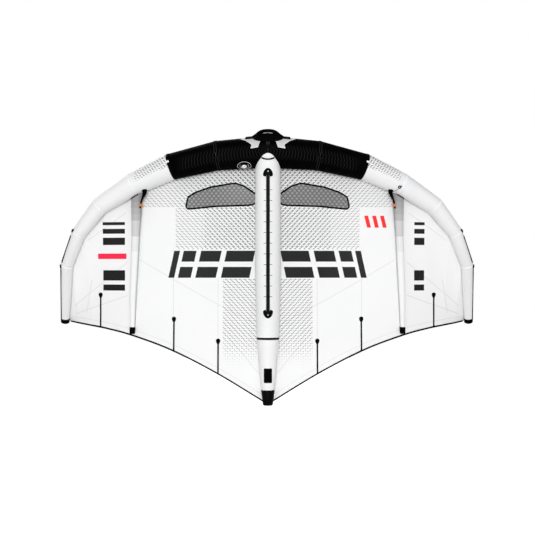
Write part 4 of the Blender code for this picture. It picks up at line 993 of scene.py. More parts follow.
def woven(name, base, light, rib, specular, slot=None):
    """Webbing, tape or thread: ribs across the length."""
    band = Finish(name, slot, roughness=0.75, specular_ior_level=specular)
    ribs, grain = band.lay()[0].wave(rib), band.grain(900.0)
    band.surface(base_color=band.mix(ribs * 0.5 + grain * 0.3, shade(base), shade(light)))
    band.relief(ribs * 0.7 + grain * 0.3, 0.0004, 0.7)
    return band


def moulded(name, base, worn, roughness, grain_scale=260.0, specular=0.25):
    """Moulded plastic: fine spark grain, with paler rubbed places."""
    plastic = Finish(name, specular_ior_level=specular)
    rubbed = plastic.grain(38.0, 4.0).rise(0.56, 0.72)
    colour = plastic.mix(rubbed * 0.6, base, worn)
    plastic.surface(base_color=colour, roughness=rubbed * 0.12 + roughness)
    plastic.relief(plastic.grain(grain_scale, 3.0) + rubbed * 0.2, 0.00015, 0.5)
    return plastic


def film_finish(name, tint, roughness):
    film = Finish(name, roughness=roughness, coat_weight=0.2, alpha=0.9)
    wrinkle = film.grain(24.0, 4.0)
    film.surface(base_color=film.mix(wrinkle, tint, shade(226, 230, 232)))
    film.relief(wrinkle, 0.001, 0.5)
    return film


def turned_steel():
    steel = Finish("screw_steel", metallic=1.0, roughness=0.32)
    x, _, z = steel.places()
    lines = steel.grain(1.0, 2.0, steel.vector(x * 300.0, z * 2600.0))
    steel.surface(base_color=steel.mix(lines, shade(150), shade(190)))
    steel.relief(lines, 0.00005, 0.6)
    return steel


def laid_cord():
    cord = Finish("grey_cord", roughness=0.8)
    u, v = cord.lay()
    strands = (u * 900.0 + v * 1100.0).wave(math.tau)
    cord.surface(base_color=cord.mix(strands, shade(64), shade(116)))
    cord.relief(strands, 0.0002, 0.8)
    return cord


WHITE_TUBE = tube_cloth("white_tube_cloth", shade(245), shade(241, 242, 243), 0.25, front_dashes_and_painted_shade)
BLACK_TUBE = tube_cloth("black_tube_cloth", shade(2), shade(5), 0.012, rib_lines)
GREY_TUBE = tube_cloth("grey_tube_cloth", shade(246), shade(243), 0.25, graded)
PATCH_CLOTH = tube_cloth("pale_patch_cloth", shade(216), shade(206), 0.2, slot="grey_tube_cloth")
CANOPY = canopy_cloth()
WINDOW = window_film()
TRIM = woven("black_trim", 2, 10, 0.0011, 0.02)
WEBBING = woven("black_webbing", 2, 12, 0.0017, 0.02)
WHITE_TAPE = woven("white_tape", 255, 253, 0.0013, 0.2, "white_tube_cloth")
GREY_THREAD = woven("grey_thread", 72, 112, 0.0009, 0.1, "grey_cord")
DARK_THREAD = woven("dark_thread", 44, 58, 0.0009, 0.05, "black_trim")
SEAM_THREAD = woven("seam_thread", 232, 224, 0.0009, 0.2, "canopy_cloth")
BLACK_PLASTIC = moulded("black_plastic", shade(4), shade(14), 0.46, specular=0.06)
WHITE_PLASTIC = moulded("white_plastic", shade(248), shade(238, 238, 234), 0.35)
ORANGE_PLASTIC = moulded("orange_plastic", shade(255, 124, 0), shade(255, 142, 24), 0.42)
RUBBER = moulded("black_rubber", shade(4), shade(13), 0.6, 500.0, 0.05)
BLADDER = film_finish("bladder_film", shade(204, 212, 216), 0.25)
FLAP = film_finish("flap_film", shade(214, 220, 222), 0.35)
STEEL = turned_steel()
CORD = laid_cord()
NODE_FINISHES = {finish.slot: finish for finish in (
    BLADDER, FLAP, BLACK_PLASTIC, WHITE_PLASTIC, ORANGE_PLASTIC, RUBBER, STEEL, WEBBING, TRIM, BLACK_TUBE,
    WHITE_TUBE, GREY_TUBE, CANOPY, WINDOW, CORD)}
EDGE_SOFTNESS = {"black_plastic": 0.0005, "orange_plastic": 0.0004, "screw_steel": 0.0003}


def dress_nodes():
    """Every node of the frame gets the finish of its slot, and hard parts get their edges broken."""
    slots = {part["node"]: part["material_slot"] for part in frame["record"]["subparts"]}
    for name, node in frame["nodes"].items():
        slot = slots[name]
        for holder in node.material_slots:
            holder.material = NODE_FINISHES[slot].material
        if slot in EDGE_SOFTNESS:
            edge = node.modifiers.new("broken_edge", "BEVEL")
            edge.width = EDGE_SOFTNESS[slot]
            edge.segments = 2
            edge.limit_method = "ANGLE"
            edge.angle_limit = math.radians(50)


# Leading edge casing

def seam_relief(distance, angle, puckers):
    """Cloth drawn in at a sewn seam, in small puckers that die out."""
    drawn_in = -SEAM_DEPTH * math.exp(-distance / SEAM_REACH)
    return drawn_in + PUCKER_DEPTH * math.exp(-distance / PUCKER_REACH) * math.cos(puckers * angle)


def casing_panel(name, station, dark, node):
    length = bay_length(station)
    near = SEAM_ROWS[-1]
    count = max(2, round((length - 2 * near) / PANEL_ROW))
    places = SEAM_ROWS[:-1] + steps(near, length - near, count) + [length - d for d in SEAM_ROWS[-2::-1]]
    puckers = round(SPINE[station][1] * math.tau / PUCKER_PITCH)
    rows = []
    for along in places:
        t = min(max(along, SEAM_INSET), length - SEAM_INSET) / length + station
        swell = 0.0 if dark else PANEL_SWELL * math.sin(math.pi * along / length)
        edge = min(along, length - along)
        rows.append([tube_point(t, a, seam_relief(edge, a, puckers) + swell) for a in around(TUBE_SIDES)])
    rims = [[tube_point(station + end, a, RIM_SINK) for a in around(TUBE_SIDES)]
            for end in (RIM_INSET / length, 1 - RIM_INSET / length)]
    radius = (SPINE[station][1] + SPINE[station + 1][1]) / 2
    acrosses = [radius * math.tau * k / TUBE_SIDES for k in range(TUBE_SIDES + 1)]
    shape = skin([rims[0], *rows, rims[1]], closed=True, lay=([0.0, *places, length], acrosses))
    make(name, shape, BLACK_TUBE if dark else WHITE_TUBE, [node])


def casing_panels(side, sign):
    for bay in range(SEAMS):
        station = MIDDLE + bay if sign > 0 else MIDDLE - bay - 1
        casing_panel(f"casing_{side}_{bay + 1}", station, bay < FIRST_WHITE_PANEL,
                     f"leading_edge_panel_{side}_{bay + 1}")


def seam_lobes(side, sign, seam, width, notch, shift):
    """Two long lobes of dark tape over a seam, with a gap between them; the first seam's are stitched."""
    put, half_turn = round_tube(MIDDLE + sign * seam), math.pi * SPINE[MIDDLE + sign * seam][1]
    first, last = LOBE_TURNS
    for lobe, (low, high) in enumerate(((first, notch - LOBE_GAP), (notch + LOBE_GAP, last)), 1):
        arc, half = (low + high) / 2 * half_turn, (high - low) / 2 * half_turn
        outline = slab(-sign * shift, arc, width / 2, half, width * 0.45, 6)
        make(f"seam_lobe_{side}_{seam}_{lobe}", patch(outline, put, 0.0014, pitch=0.007, soft=0.0014), TRIM)
        if seam == 1:
            inner = slab(-sign * shift, arc, width / 2 - LOBE_STITCH_INSET, half - LOBE_STITCH_INSET,
                         width * 0.45 - LOBE_STITCH_INSET, 6)
            thread = ribbon(walk(inner, 0.007, loop=True), put, 0.0026, 0.0021, loop=True)
            make(f"seam_stitch_{side}_{seam}_{lobe}", thread, DARK_THREAD)


def casing_seams(side, sign):
    """Tapes over the seams: bright ones round the white panels, lobes with a notch at the dark ends."""
    for seam in range(FIRST_WHITE_PANEL + 1, SEAMS):
        station = MIDDLE + sign * seam
        put, radius = round_tube(station), SPINE[station][1]
        rows = [[put(-a, radius * angle, out) for a, out in tape_section(TAPE_WIDTH, TAPE_HEIGHT)]
                for angle in around(120)]
        make(f"seam_tape_{side}_{seam}", hoop(rows), WHITE_TAPE)
    for lobes in LOBES:
        seam_lobes(side, sign, *lobes)
    station = MIDDLE + sign * FIRST_WHITE_PANEL
    notch = slab(-sign * 0.006, NOTCH_TURN * math.pi * SPINE[station][1], 0.0075, 0.0066, 0.003)
    make(f"seam_notch_{side}", patch(notch, round_tube(station), 0.0011, pitch=0.004), WHITE_TAPE)
    path = walk([(sign * MIDDLE_STITCH_X, TUBE_RADIUS * angle) for angle in MIDDLE_STITCH_ANGLES])
    make(f"middle_stitch_{side}", ribbon(path, round_tube(MIDDLE), 0.0040, 0.0012), DARK_THREAD)


def tip_cap(side, sign):
    end = MIDDLE + sign * SEAMS
    centre = SPINE[end][0]
    out = (centre - SPINE[end - sign][0]).normalized()
    rows = [[centre + (ring_point(end, a, 0) - centre) * share + out * reach for a in around(64)]
            for reach, share in TIP_BOOT]
    make(f"tip_boot_{side}", solid(rows), TRIM, [f"tip_cap_{side}"])


def scuff_guards(side, sign):
    """Dark strips and small pads sewn along the outer tube, where it meets the ground."""
    for seam, shift, start, spare, half in SCUFF_GUARDS:
        station = MIDDLE + sign * seam
        radius = SPINE[station][1]
        pad = slab(sign * shift, radius * SCUFF_PAD_ANGLE, 0.0125, 0.0110, 0.0085)
        make(f"scuff_pad_{side}_{seam}", patch(pad, round_tube(station), 0.0050, pitch=0.004), TRIM)
        end = bay_length(min(station, station + sign)) - spare
        arc = radius * SCUFF_STRIP_ANGLE
        strip = slab(sign * (start + end) / 2, arc, (end - start) / 2, half, half * 0.6)
        make(f"scuff_strip_{side}_{seam}", patch(strip, round_tube(station), 0.0016, pitch=0.008), TRIM)


# Canopy

CHORDS = [0.0, 0.01, 0.025] + steps(0.05, 0.96, 40) + [0.975, 0.99, 1.0]
SHEET_SEAMS = {
    "inner": [0.0005] + steps(0.03, MINI_STRUT_SEAM - 0.02, 48) + [MINI_STRUT_SEAM - 0.0006],
    "outer": [MINI_STRUT_SEAM + 0.0006] + steps(MINI_STRUT_SEAM + 0.05, SEAMS - 0.03, 44) + [SEAMS - 0.0006],
}


def sheet_shape(sign, part):
    return skin([[canopy_point(s, v, sign) for v in CHORDS] for s in SHEET_SEAMS[part]])


def window_outline(sign):
    shares = zip(WINDOW_LENGTH_SHARES, WINDOW_DEPTH_SHARES)
    return rounded([(sign * (WINDOW_INNER_X + WINDOW_LENGTH * length),
                     TUBE_MIDDLE.z - WINDOW_FRONT - WINDOW_DEPTH * depth) for length, depth in shares], 0.09)


def cut_out(piece, outline, operation):
    """Cuts a sheet to an outline seen from below, as a hole or as the kept part."""
    shape = bmesh.new()
    face = shape.faces.new([shape.verts.new((x, CUTTER_START, z)) for x, z in outline])
    moved = bmesh.ops.extrude_face_region(shape, geom=[face])["geom"]
    bmesh.ops.translate(shape, verts=[v for v in moved if isinstance(v, bmesh.types.BMVert)],
                        vec=(0, CUTTER_LENGTH, 0))
    cutter = into_scene("cutter", mesh_of("cutter", right_way_out(shape)))
    step = piece.modifiers.new("cut", "BOOLEAN")
    step.operation = operation
    step.solver = "EXACT"
    step.object = cutter
    bpy.context.view_layer.update()
    evaluated(piece)
    bpy.data.objects.remove(cutter)


def sheet(name, sign, part, finish, node):
    piece = make(name, sheet_shape(sign, part), finish, [node])
    step = piece.modifiers.new("thickness", "SOLIDIFY")
    step.thickness = CANOPY_THICKNESS
    step.offset = 0
    return piece


def canopy(side, sign):
    for part in SHEET_SEAMS:
        piece = sheet(f"cloth_{part}_{side}", sign, part, CANOPY, f"canopy_{part}_{side}")
        if part == "inner":
            whole = surface_of(piece.name)
            cut_out(piece, window_outline(sign), "DIFFERENCE")
        else:
            evaluated(piece)
    pane = sheet(f"pane_{side}", sign, "inner", WINDOW, f"window_{side}")
    cut_out(pane, window_outline(sign), "INTERSECT")
    edge = walk(window_outline(sign), loop=True)
    for face, way in (("below", (0, 1, 0)), ("above", (0, -1, 0))):
        binding = ribbon(edge, seen_from_below(whole, way), 0.0110, 0.0024, loop=True)
        make(f"window_binding_{face}_{side}", binding, TRIM)


def hem():
    """Folded hem along the whole trailing edge, and the thread line of the cloth folded in behind it."""
    marks = steps(0.0, SEAMS, 150)
    rows, threads = [], {-1: [], 1: []}
    for sign, order in ((-1, marks[::-1]), (1, marks[1:])):
        for s in order:
            edge = canopy_point(s, 1.0, sign)
            chord = (edge - canopy_point(s, 0.0, sign)).length
            back = (edge - canopy_point(s, 0.97, sign)).normalized() * HEM_WIDTH
            top = surface_normal(s, 1.0) * HEM_THICKNESS * 0.7
            top.x *= sign
            rows.append([edge + back * along + top * out for along, out in HEM_SECTION])
            v = 1 - HEM_SEAM_REACH / chord
            threads[sign].append([canopy_point(s, v + a / chord, sign, -CANOPY_THICKNESS / 2 - out)
                                  for a, out in tape_section(0.0030, 0.0006)])
    make("hem_tape", solid(rows), TRIM, ["trailing_hem"])
    for side, sign in SIDES:
        make(f"hem_seam_{side}", solid(threads[sign]), SEAM_THREAD)


# Centre strut

def tube_over_strut(point):
    """Centre and radius of the tube above a point of the strut."""
    t = MIDDLE + abs(point.x) / (HALF_SPAN * SPAN_SHARES[1])
    return tube_centre(t), tube_size(t)


def nose_drop(angle):
    """How far behind the tube's middle the strut's skin leaves the tube, at an angle round the strut."""
    point = strut_point(0, angle)
    centre, radius = tube_over_strut(point)
    round_tip = NOSE_TIP_DROP + point.x ** 2 / (2 * NOSE_TIP_RADIUS) if math.cos(angle) < 0 else 0.0
    reach = math.sqrt(max(radius * radius - (point.y - centre.y) ** 2, 0.0))
    return max(TUBE_MIDDLE.z - centre.z + reach, round_tip)


def nose_point(drop, angle):
    """Point of the strut's skin, drawn in to the tube along its front edge."""
    point = strut_point(drop, angle)
    centre, radius = tube_over_strut(point)
    gap = point.z - centre.z
    if math.cos(angle) < 0 and abs(gap) < radius:
        on_tube = centre.y - math.sqrt(radius * radius - gap * gap) - TRIM_SINK
        point.y = lerp(on_tube, point.y, soft_step(drop - nose_drop(angle), 0.0, NOSE_SETTLE))
    return point


def strut_ring(drop, offset=0.0, sides=96):
    return [strut_point(drop, a, offset) for a in around(sides)]


def strut_skin(name, start, end, finish, node, count=40):
    rows = [strut_ring(drop) for drop in steps(start, end, count)]
    rims = [strut_ring(drop, STRUT_RIM) for drop in (start, end)]
    make(name, skin([rims[0], *rows, rims[1]], closed=True), finish, [node])


def strut_sleeve():
    around_tube = around(TUBE_SIDES)
    shares = [0.0, 0.002, 0.005, 0.009, 0.014, 0.02, 0.028] + steps(0.04, 1.0, 80)
    rows = [[nose_point(nose_drop(a), a) - Vector((0, math.copysign(0.002, math.cos(a)), 0.0008))
             for a in around_tube]]
    rows += [[nose_point(lerp(nose_drop(a), BAND_START, share), a) for a in around_tube] for share in shares]
    rows.append(strut_ring(BAND_START, STRUT_RIM, TUBE_SIDES))
    make("strut_sleeve", skin(rows, closed=True), WHITE_TUBE, ["strut_casing"])


def centre_strut():
    strut_sleeve()
    strut_skin("strut_band", BAND_START, BAND_END, TRIM, "strut_seam_band", 6)
    strut_skin("strut_cone", BAND_END, TAIL_CAP_START, WHITE_TUBE, "strut_tail_cone")
    rows = []
    for drop, offset in TAIL_BOOT:
        fold = TAIL_FOLD if 0 < drop < TAIL_FOLD_END else 0.0
        rows.append([strut_point(TAIL_CAP_START + drop, a, offset + fold * math.sin(7 * a + drop * 60))
                     for a in around(96)])
    make("tail_boot", solid(rows), BLACK_PLASTIC, ["tail_cap"])
    piping = [(x, TUBE_MIDDLE.z - PIPING_DROP + PIPING_BOW * (x / PIPING_HALF) ** 2)
              for x in steps(-PIPING_HALF, PIPING_HALF, 24)]
    make("nose_piping", ribbon(piping, seen_from_below(surface_of("strut_sleeve")), 0.0100, 0.0044), TRIM)
    half, long_half = TAIL_PATCH_HALF_WIDTH, TAIL_PATCH_HALF_LENGTH
    outline = slab(0, TAIL_PATCH_DROP, half, long_half, 0.007)
    make("tail_patch", patch(outline, round_strut, 0.0013, pitch=0.006), TRIM)
    inner = slab(0, TAIL_PATCH_DROP, half - TAIL_STITCH_INSET, long_half - TAIL_STITCH_INSET, 0.004)
    stitch = ribbon(walk(inner, 0.006, loop=True), round_strut, 0.0014, 0.0019, loop=True)
    make("tail_patch_stitch", stitch, DARK_THREAD)


# Handle rail

def rail_marks():
    """Thread marks across the strut and a base tape, under the rail."""
    base = slab(0, RAIL_START + RAIL_LENGTH / 2, RAIL_WIDTH / 2 + 0.0022, RAIL_LENGTH / 2 - 0.004, 0.002)
    make("rail_base", patch(base, round_strut, 0.0012), TRIM)
    for k in range(RAIL_MARKS):
        drop = RAIL_MARK_START + RAIL_MARK_PITCH * k
        path = walk([(-RAIL_MARK_HALF, drop), (RAIL_MARK_HALF, drop)], 0.005)
        make(f"rail_mark_{k + 1}", ribbon(path, round_strut, 0.0032, 0.0006), GREY_THREAD)


def rail_fitting(name, flat, sign):
    """Domed end fitting with shoulders beside the rail, a pad round its screw, and a white patch under it."""
    deep = FITTING_DEPTH + FITTING_SINK
    screw_drop = flat - sign * FITTING_LENGTH * SCREW_PLACE_SHARE
    seat = deep * math.sqrt(1 - SCREW_PLACE_SHARE ** 2) - SCREW_PAD_DROP

    def crown(x, drop):
        off = sign * (flat - drop)
        along = off / DOME_LENGTH if off > 0 else off / (SHOULDER_LENGTH * 1.4)
        height = deep * math.sqrt(max(0.03, 1 - (x / FITTING_HALF_WIDTH) ** 2 - along ** 2))
        return min(height, seat) if math.hypot(x, drop - screw_drop) < SCREW_PAD_RADIUS else height

    def put(x, drop, out):
        if out > 0:
            return place(x, KEEL + FITTING_SINK - out, drop)
        return strut_point(drop, math.pi - x / STRUT_RADIUS, -TRIM_SINK)

    dome = [(FITTING_HALF_WIDTH * bulged(math.cos(a), 1.3), flat - sign * DOME_LENGTH * math.sin(a))
            for a in steps(0.0, math.pi, 24)]
    shoulder = [(width * FITTING_HALF_WIDTH, flat + sign * SHOULDER_LENGTH * length)
                for width, length in SHOULDER]
    outline = dome + [(-x, drop) for x, drop in shoulder] + shoulder[::-1]
    shape = patch(outline, put, crown, pitch=0.0022, edge_share=0.75)
    make(f"fitting_{name}", shape, BLACK_PLASTIC, [f"rail_fitting_{name}"])
    halo = [(x * 1.22, flat + (drop - flat) * 1.14) for x, drop in outline[:29] + outline[-4:]]
    make(f"fitting_base_{name}", patch(rounded(halo, times=1), round_strut, 0.0010, pitch=0.006), WHITE_TAPE)
    centre = place(0, KEEL + FITTING_SINK - seat - 0.0002, screw_drop)
    turn = Matrix.Translation(centre) @ Matrix.Rotation(math.pi / 2, 4, "X")
    make(f"screw_{name}", solid(turned(SCREW_PROFILE, 24, turn)), STEEL, [f"rail_screw_{name}"])


# Short struts

def mini_radius(v):
    return MINI_RADIUS * table(MINI_RADIUS_SHARES, MINI_CHORD_SHARES, v)


def mini_centre(v, sign, shift=0.0):
    normal = surface_normal(MINI_STRUT_SEAM, min(max(v, 0.0), 1.0))
    centre = surface_point(MINI_STRUT_SEAM, v) - normal * (mini_radius(v) + SHEET_SEAT)
    return Vector(((centre.x + shift) * sign, centre.y, centre.z)), math.atan2(normal.y, normal.x)


def mini_ring(v, sign, offset, shift=0.0):
    centre, start = mini_centre(v, sign, shift)
    reach = mini_radius(v) + offset
    return [centre + Vector((reach * math.cos(start + a) * sign, reach * math.sin(start + a), 0))
            for a in around(MINI_SIDES)]


def mini_strut(side, sign):
    sleeve_start, sleeve_end = MINI_CHORD_SHARES[-2:]
    rows = []
    for v in steps(MINI_CHORD_SHARES[0], sleeve_start, MINI_ROWS):
        full = 1 - soft_step(v, *MINI_FULL_END)
        rows.append(mini_ring(v, sign, MINI_FULLER * full, MINI_SHIFT * full))
    turns = [FLANK_TURN * a for a in around(MINI_SIDES)] + [FLANK_TURN * math.tau]
    shape = skin(rows, closed=True, lay=(steps(0.0, 0.8, MINI_ROWS), turns))
    make(f"short_strut_{side}", shape, GREY_TUBE, [f"mini_strut_{side}"])
    rows = [mini_ring(lerp(sleeve_start, sleeve_end, share), sign, offset) for share, offset in MINI_BOOT]
    make(f"short_strut_boot_{side}", solid(rows), TRIM, [f"mini_strut_sleeve_{side}"])


def strut_welt(side, sign):
    """Dark welt across each short strut, where it comes out from under the tube."""
    tube = surface_of(f"casing_{side}_3", f"casing_{side}_4")
    strut = seen_from_below(surface_of(f"short_strut_{side}"))
    path = []
    for share in steps(*WELT_SHARES, 18):
        x, z = sign * (WELT_X - share * WELT_HALF), TUBE_MIDDLE.z - WELT_SEARCH_DROP
        while met(tube, x, z):
            z -= 0.001
        path.append((x, z - WELT_OUT))
    make(f"strut_welt_{side}", ribbon(path, strut, 0.0064, 0.0022), TRIM)


# Inflation hoses

def beside_mini(drop, sign, stand_off):
    """Point beside the short strut, on its underside towards the middle of the wing."""
    front, back = surface_point(MINI_STRUT_SEAM, 0).z, surface_point(MINI_STRUT_SEAM, 1).z
    v = (front - TUBE_MIDDLE.z + drop) / (front - back)
    out = Vector((-sign * math.sin(HOSE_SIDE_ANGLE), -math.cos(HOSE_SIDE_ANGLE), 0))
    return mini_centre(v, sign)[0] + out * (mini_radius(v) + stand_off)


def hose_path(sign, clip):
    """Route of the hose, from inside the tube, through its clip, to inside the short strut."""
    low, high = SPAN_SHARES[MINI_STRUT_SEAM - 1:MINI_STRUT_SEAM + 1]
    t = MIDDLE + sign * (MINI_STRUT_SEAM - 1 + (HOSE_ROOT_X / HALF_SPAN - low) / (high - low))
    root = tube_point(t, HOSE_ROOT_ANGLE)
    inward = (tube_centre(t) - root).normalized() * HOSE_FLARE_RADIUS
    straight = [clip + Vector((0, 0, CLIP_LENGTH * share)) for share in (1.0, 0.5, 0.0, -0.45)]
    ends = [beside_mini(HOSE_CLIP_DROP + HOSE_DIVE, sign, -0.002),
            beside_mini(HOSE_CLIP_DROP + 1.8 * HOSE_DIVE, sign, -2.5 * HOSE_RADIUS)]
    return smooth_path([root + inward, root - inward / 2, *straight, *ends], 0.003)


def hose(side, sign):
    clip = beside_mini(HOSE_CLIP_DROP, sign, HOSE_STAND_OFF + HOSE_RADIUS)
    path = hose_path(sign, clip)

    def bore(k):
        flare = max(0.0, 1 - (path[k] - path[0]).length / HOSE_FLARE_LENGTH)
        free = soft_step((path[k] - clip).length, *HOSE_PINCH_REACH)
        return lerp(lerp(HOSE_RADIUS, HOSE_FREE_RADIUS, free), HOSE_FLARE_RADIUS, flare)

    make(f"hose_tube_{side}", solid(pipe_rings(path, bore, 24)), RUBBER, [f"hose_{side}"])
    cuff = [p for p in path if CUFF_START < (p - path[0]).length < CUFF_LENGTH]
    rings = pipe_rings(cuff, lambda k: lerp(*CUFF_RADII, (k / (len(cuff) - 1)) ** 0.8), 24)
    make(f"hose_cuff_{side}", solid(rings), TRIM)


# Battens

def battens(side, sign):
    for k, (x_share, front_share) in enumerate(zip(BATTEN_X_SHARES, BATTEN_FRONT_SHARES), 1):
        front, x = TUBE_MIDDLE.z - SWEEP * front_share, sign * HALF_SPAN * x_share
        part = "outer" if x_share > SPAN_SHARES[MINI_STRUT_SEAM] else "inner"
        surface = surface_of(f"cloth_{part}_{side}")
        end = front - BATTEN_LENGTH
        while not met(surface, x, end):
            end += 0.002
        widths = [(BATTEN_HEAD_HALF_WIDTH * width, front - BATTEN_HEAD_LENGTH * length)
                  for length, width in BATTEN_HEAD]
        widths += [(BATTEN_HALF_WIDTH, front - BATTEN_LENGTH + 0.03), (BATTEN_HALF_WIDTH, end)]
        outline = [(x + w, z) for w, z in widths] + [(x - w, z) for w, z in reversed(widths)]
        shape = patch(outline, seen_from_below(surface), 0.0026, pitch=0.006)
        make(f"batten_sleeve_{side}_{k}", shape, TRIM, [f"batten_pocket_{side}_{k}"])


# Front handle

def handle_loop():
    """Arched grip: a padded sleeve that gets thicker to its ends, with a sewn collar at each."""
    arch = [(-x, height) for x, height in GRIP_ARCH] + [(x, height) for x, height in GRIP_ARCH[-2::-1]]
    knots = [TUBE_MIDDLE + HANDLE_OUT * (TUBE_RADIUS + height) + Vector((x, 0, 0)) for x, height in arch]
    rings = []
    for point, along in along_path(smooth_path(knots, 0.004)):
        side = along.cross(HANDLE_SIDE).normalized()
        spread = min(1.0, abs(point.x) / GRIP_HALF_WIDTH) ** 2
        welt = 1 + 0.05 * math.exp(-((abs(point.x) - GRIP_WELT_X) / 0.0022) ** 2)
        side *= lerp(*GRIP_THICK, spread) * welt
        width = HANDLE_SIDE * lerp(*GRIP_WIDE, spread) * welt
        rings.append([point + side * math.cos(a) + width * math.sin(a) for a in around(40)])
    grip = make("grip_cover", solid(rings), WEBBING, ["handle_grip"])


def handle_base():
    """Crowned pad under the grip."""
    tilt = TUBE_RADIUS * GRIP_TILT

    def crown(x, arc):
        across = (arc - tilt) / PAD_HALF_DEPTHS[arc > tilt]
        spread = max(0.0, 1 - (x / PAD_HALF_WIDTH) ** 2) * max(0.0, 1 - across ** 2)
        return PAD_THICKNESS + PAD_CROWN * spread ** 0.6

    outline = [(PAD_HALF_WIDTH * bulged(math.cos(a), 0.62),
                tilt + PAD_HALF_DEPTHS[math.sin(a) > 0] * bulged(math.sin(a), 0.85)) for a in around(72)]
    shape = patch(outline, round_tube(MIDDLE), crown, pitch=0.006, soft=0.003, edge_share=0.6)
    pad = make("handle_pad", shape, WEBBING, ["handle_base"])


def handle_arm(side, sign):
    """Webbing arm that runs out of the pad, and the pale patch beside it."""
    put = round_tube(MIDDLE)
    low, high = ARM_SPAN
    arm = slab(sign * (low + high) / 2, ARM_ARC, (high - low) / 2, ARM_HALF_WIDTH, 0.006)
    make(f"handle_arm_{side}", patch(arm, put, 0.0075, pitch=0.005, soft=0.003), WEBBING)
    pale = [(sign * x, arc) for x, arc in PALE_PATCH]
    make(f"pale_patch_{side}", patch(pale, put, 0.0009, pitch=0.006), PATCH_CLOTH)
    edge = ribbon(walk(pale, 0.006, loop=True), put, 0.0030, 0.0014, loop=True)
    make(f"pale_patch_edge_{side}", edge, WHITE_TAPE)


# Rings round the valve, and the small ring with its cord

def valve_rings():
    bay, radius = bay_length(MIDDLE - 1), SPINE[MIDDLE - 1][1]
    arc = (math.pi + VALVE_ANGLE) * radius + VALVE_RING_SHIFT

    def put(along, across, out):
        return tube_point(MIDDLE - along / bay, math.pi + across / radius, out)

    for name, reach, width in VALVE_RINGS:
        path = [(VALVE_X_SHARE * bay + reach * math.cos(a), arc + reach * VALVE_RING_FLAT * math.sin(a))
                for a in around(72)]
        make(f"valve_ring_{name}", ribbon(path, put, width, 0.0009, loop=True), WHITE_TAPE)


def tether():
    t = MIDDLE + RING_X_SHARE
    room = (RING_RADIUS + CORD_ROOM) / SPINE[MIDDLE + MINI_STRUT_SEAM][1]
    shift = TETHER_SHIFT / bay_length(MIDDLE + MINI_STRUT_SEAM - 1)
    start, above = RING_ANGLE + room, SEAT_GAP + CORD_RADIUS
    path = [tube_point(t - shift * share, lerp(start, TETHER_END_ANGLE, share), above)
            for share in steps(0.0, 1.0, 40)]
    rings = []
    for k, ring in enumerate(pipe_rings(path, lambda _: CORD_RADIUS, 16)):
        twist = [1 - CORD_GROOVE * abs(math.sin(a + k * CORD_TWIST)) for a in around(16)]
        rings.append([path[k] + (p - path[k]) * share for p, share in zip(ring, twist)])
    make("tether_line", solid(rings), CORD, ["tether_cord"])
    seat = tube_point(t, RING_ANGLE, SEAT_GAP)
    out = (tube_point(t, RING_ANGLE, RING_RADIUS) - tube_point(t, RING_ANGLE)).normalized()
    turn = Matrix.Translation(seat) @ out.to_track_quat("Z", "Y").to_matrix().to_4x4()
    middle, half = (EYELET_RADIUS + EYELET_BORE) / 2, (EYELET_RADIUS - EYELET_BORE) / 2
    band = [(middle + half * math.cos(a), EYELET_RISE + EYELET_HALF_HEIGHT * math.sin(a)) for a in around(20)]
    eyelet = skin(turned(band + band[:1], 48, turn), closed=True)
    make("tether_eyelet", eyelet, BLACK_PLASTIC, ["tether_ring"])
    lean = turn @ Matrix.Rotation(TAB_TURN, 4, "Z")
    outline = slab(0.0105, 0.0, 0.0050, 0.0032, 0.0010)
    tab = patch(outline, lambda u, v, out: lean @ Vector((u, v, out)), 0.0034, pitch=0.002)
    make("tether_tab", tab, TRIM)


# Floor, light and camera

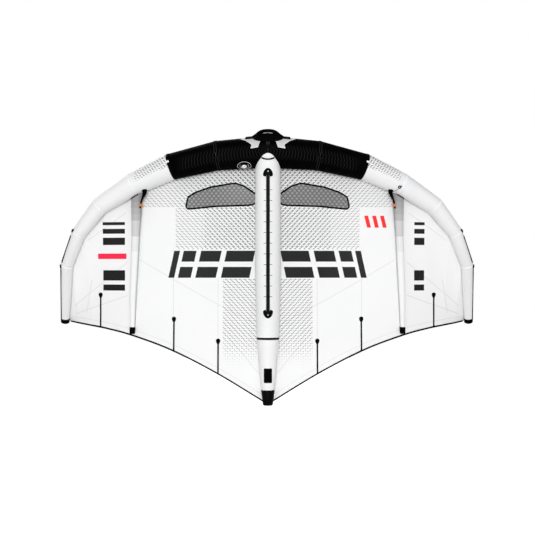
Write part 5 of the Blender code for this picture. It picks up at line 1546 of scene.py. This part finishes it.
def stage():
    """Floor that glows white to the camera alone, takes the shadow and is clear from below."""
    floor = Finish("floor", roughness=0.9, specular_ior_level=0.0)
    seen = floor.node("ShaderNodeLightPath", out="Is Camera Ray")
    glow = floor.mix(seen, (0.0, 0.0, 0.0), (1.0, 1.0, 1.0))
    floor.surface(base_color=shade(236), emission_strength=0.8, emission_color=glow)
    back = floor.node("ShaderNodeNewGeometry", out="Backfacing")
    dressed, clear = Signal(floor, floor.shader.outputs[0]), floor.node("ShaderNodeBsdfTransparent")
    both = floor.node("ShaderNodeMixShader", {}, {0: back, 1: dressed, 2: clear})
    floor.give(floor.tree.nodes["Material Output"].inputs["Surface"], both)
    shape = bmesh.new()
    bmesh.ops.create_grid(shape, x_segments=2, y_segments=2, size=FLOOR_HALF_SIZE)
    mesh = mesh_of("floor", shape)
    mesh.materials.append(floor.material)
    ground = into_scene("floor", mesh)
    ground.location.z = FLOOR_HEIGHT


def lights():
    """A sky that is white to the camera and through film but dimmer as light, and the lamps."""
    world = bpy.data.worlds.new("studio")
    sky = Nodes(world)
    seen = sky.node("ShaderNodeLightPath", out="Is Camera Ray")
    through = sky.node("ShaderNodeLightPath", out="Is Transmission Ray")
    background = sky.tree.nodes["Background"].inputs
    sky.give(background["Color"], (1.0, 1.0, 1.0))
    sky.give(background["Strength"], seen.most(through) * (1 - SKY_LEVEL) + SKY_LEVEL)
    bpy.context.scene.world = world
    for name, strength, spread, turn in LAMPS:
        lamp = bpy.data.lights.new(name, "SUN")
        lamp.energy = strength
        lamp.angle = math.radians(spread)
        into_scene(name, lamp, turn)


def camera():
    data = bpy.data.cameras.new("camera")
    data.lens = CAMERA_LENS
    data.sensor_width = 36
    holder = into_scene("camera", data, CAMERA_TURN)
    holder.location = CAMERA_PLACE
    bpy.context.scene.camera = holder
    bpy.context.scene.view_settings.view_transform = "Standard"


def on_both_sides(*builders):
    for build in builders:
        for side, sign in SIDES:
            build(side, sign)


dress_nodes()
on_both_sides(casing_panels, casing_seams, tip_cap, scuff_guards, canopy)
hem()
centre_strut()
rail_marks()
rail_fitting("front", RAIL_START, 1)
rail_fitting("rear", RAIL_START + RAIL_LENGTH, -1)
on_both_sides(mini_strut, strut_welt, hose, battens)
handle_loop()
handle_base()
on_both_sides(handle_arm)
valve_rings()
tether()
stage()
lights()
camera()
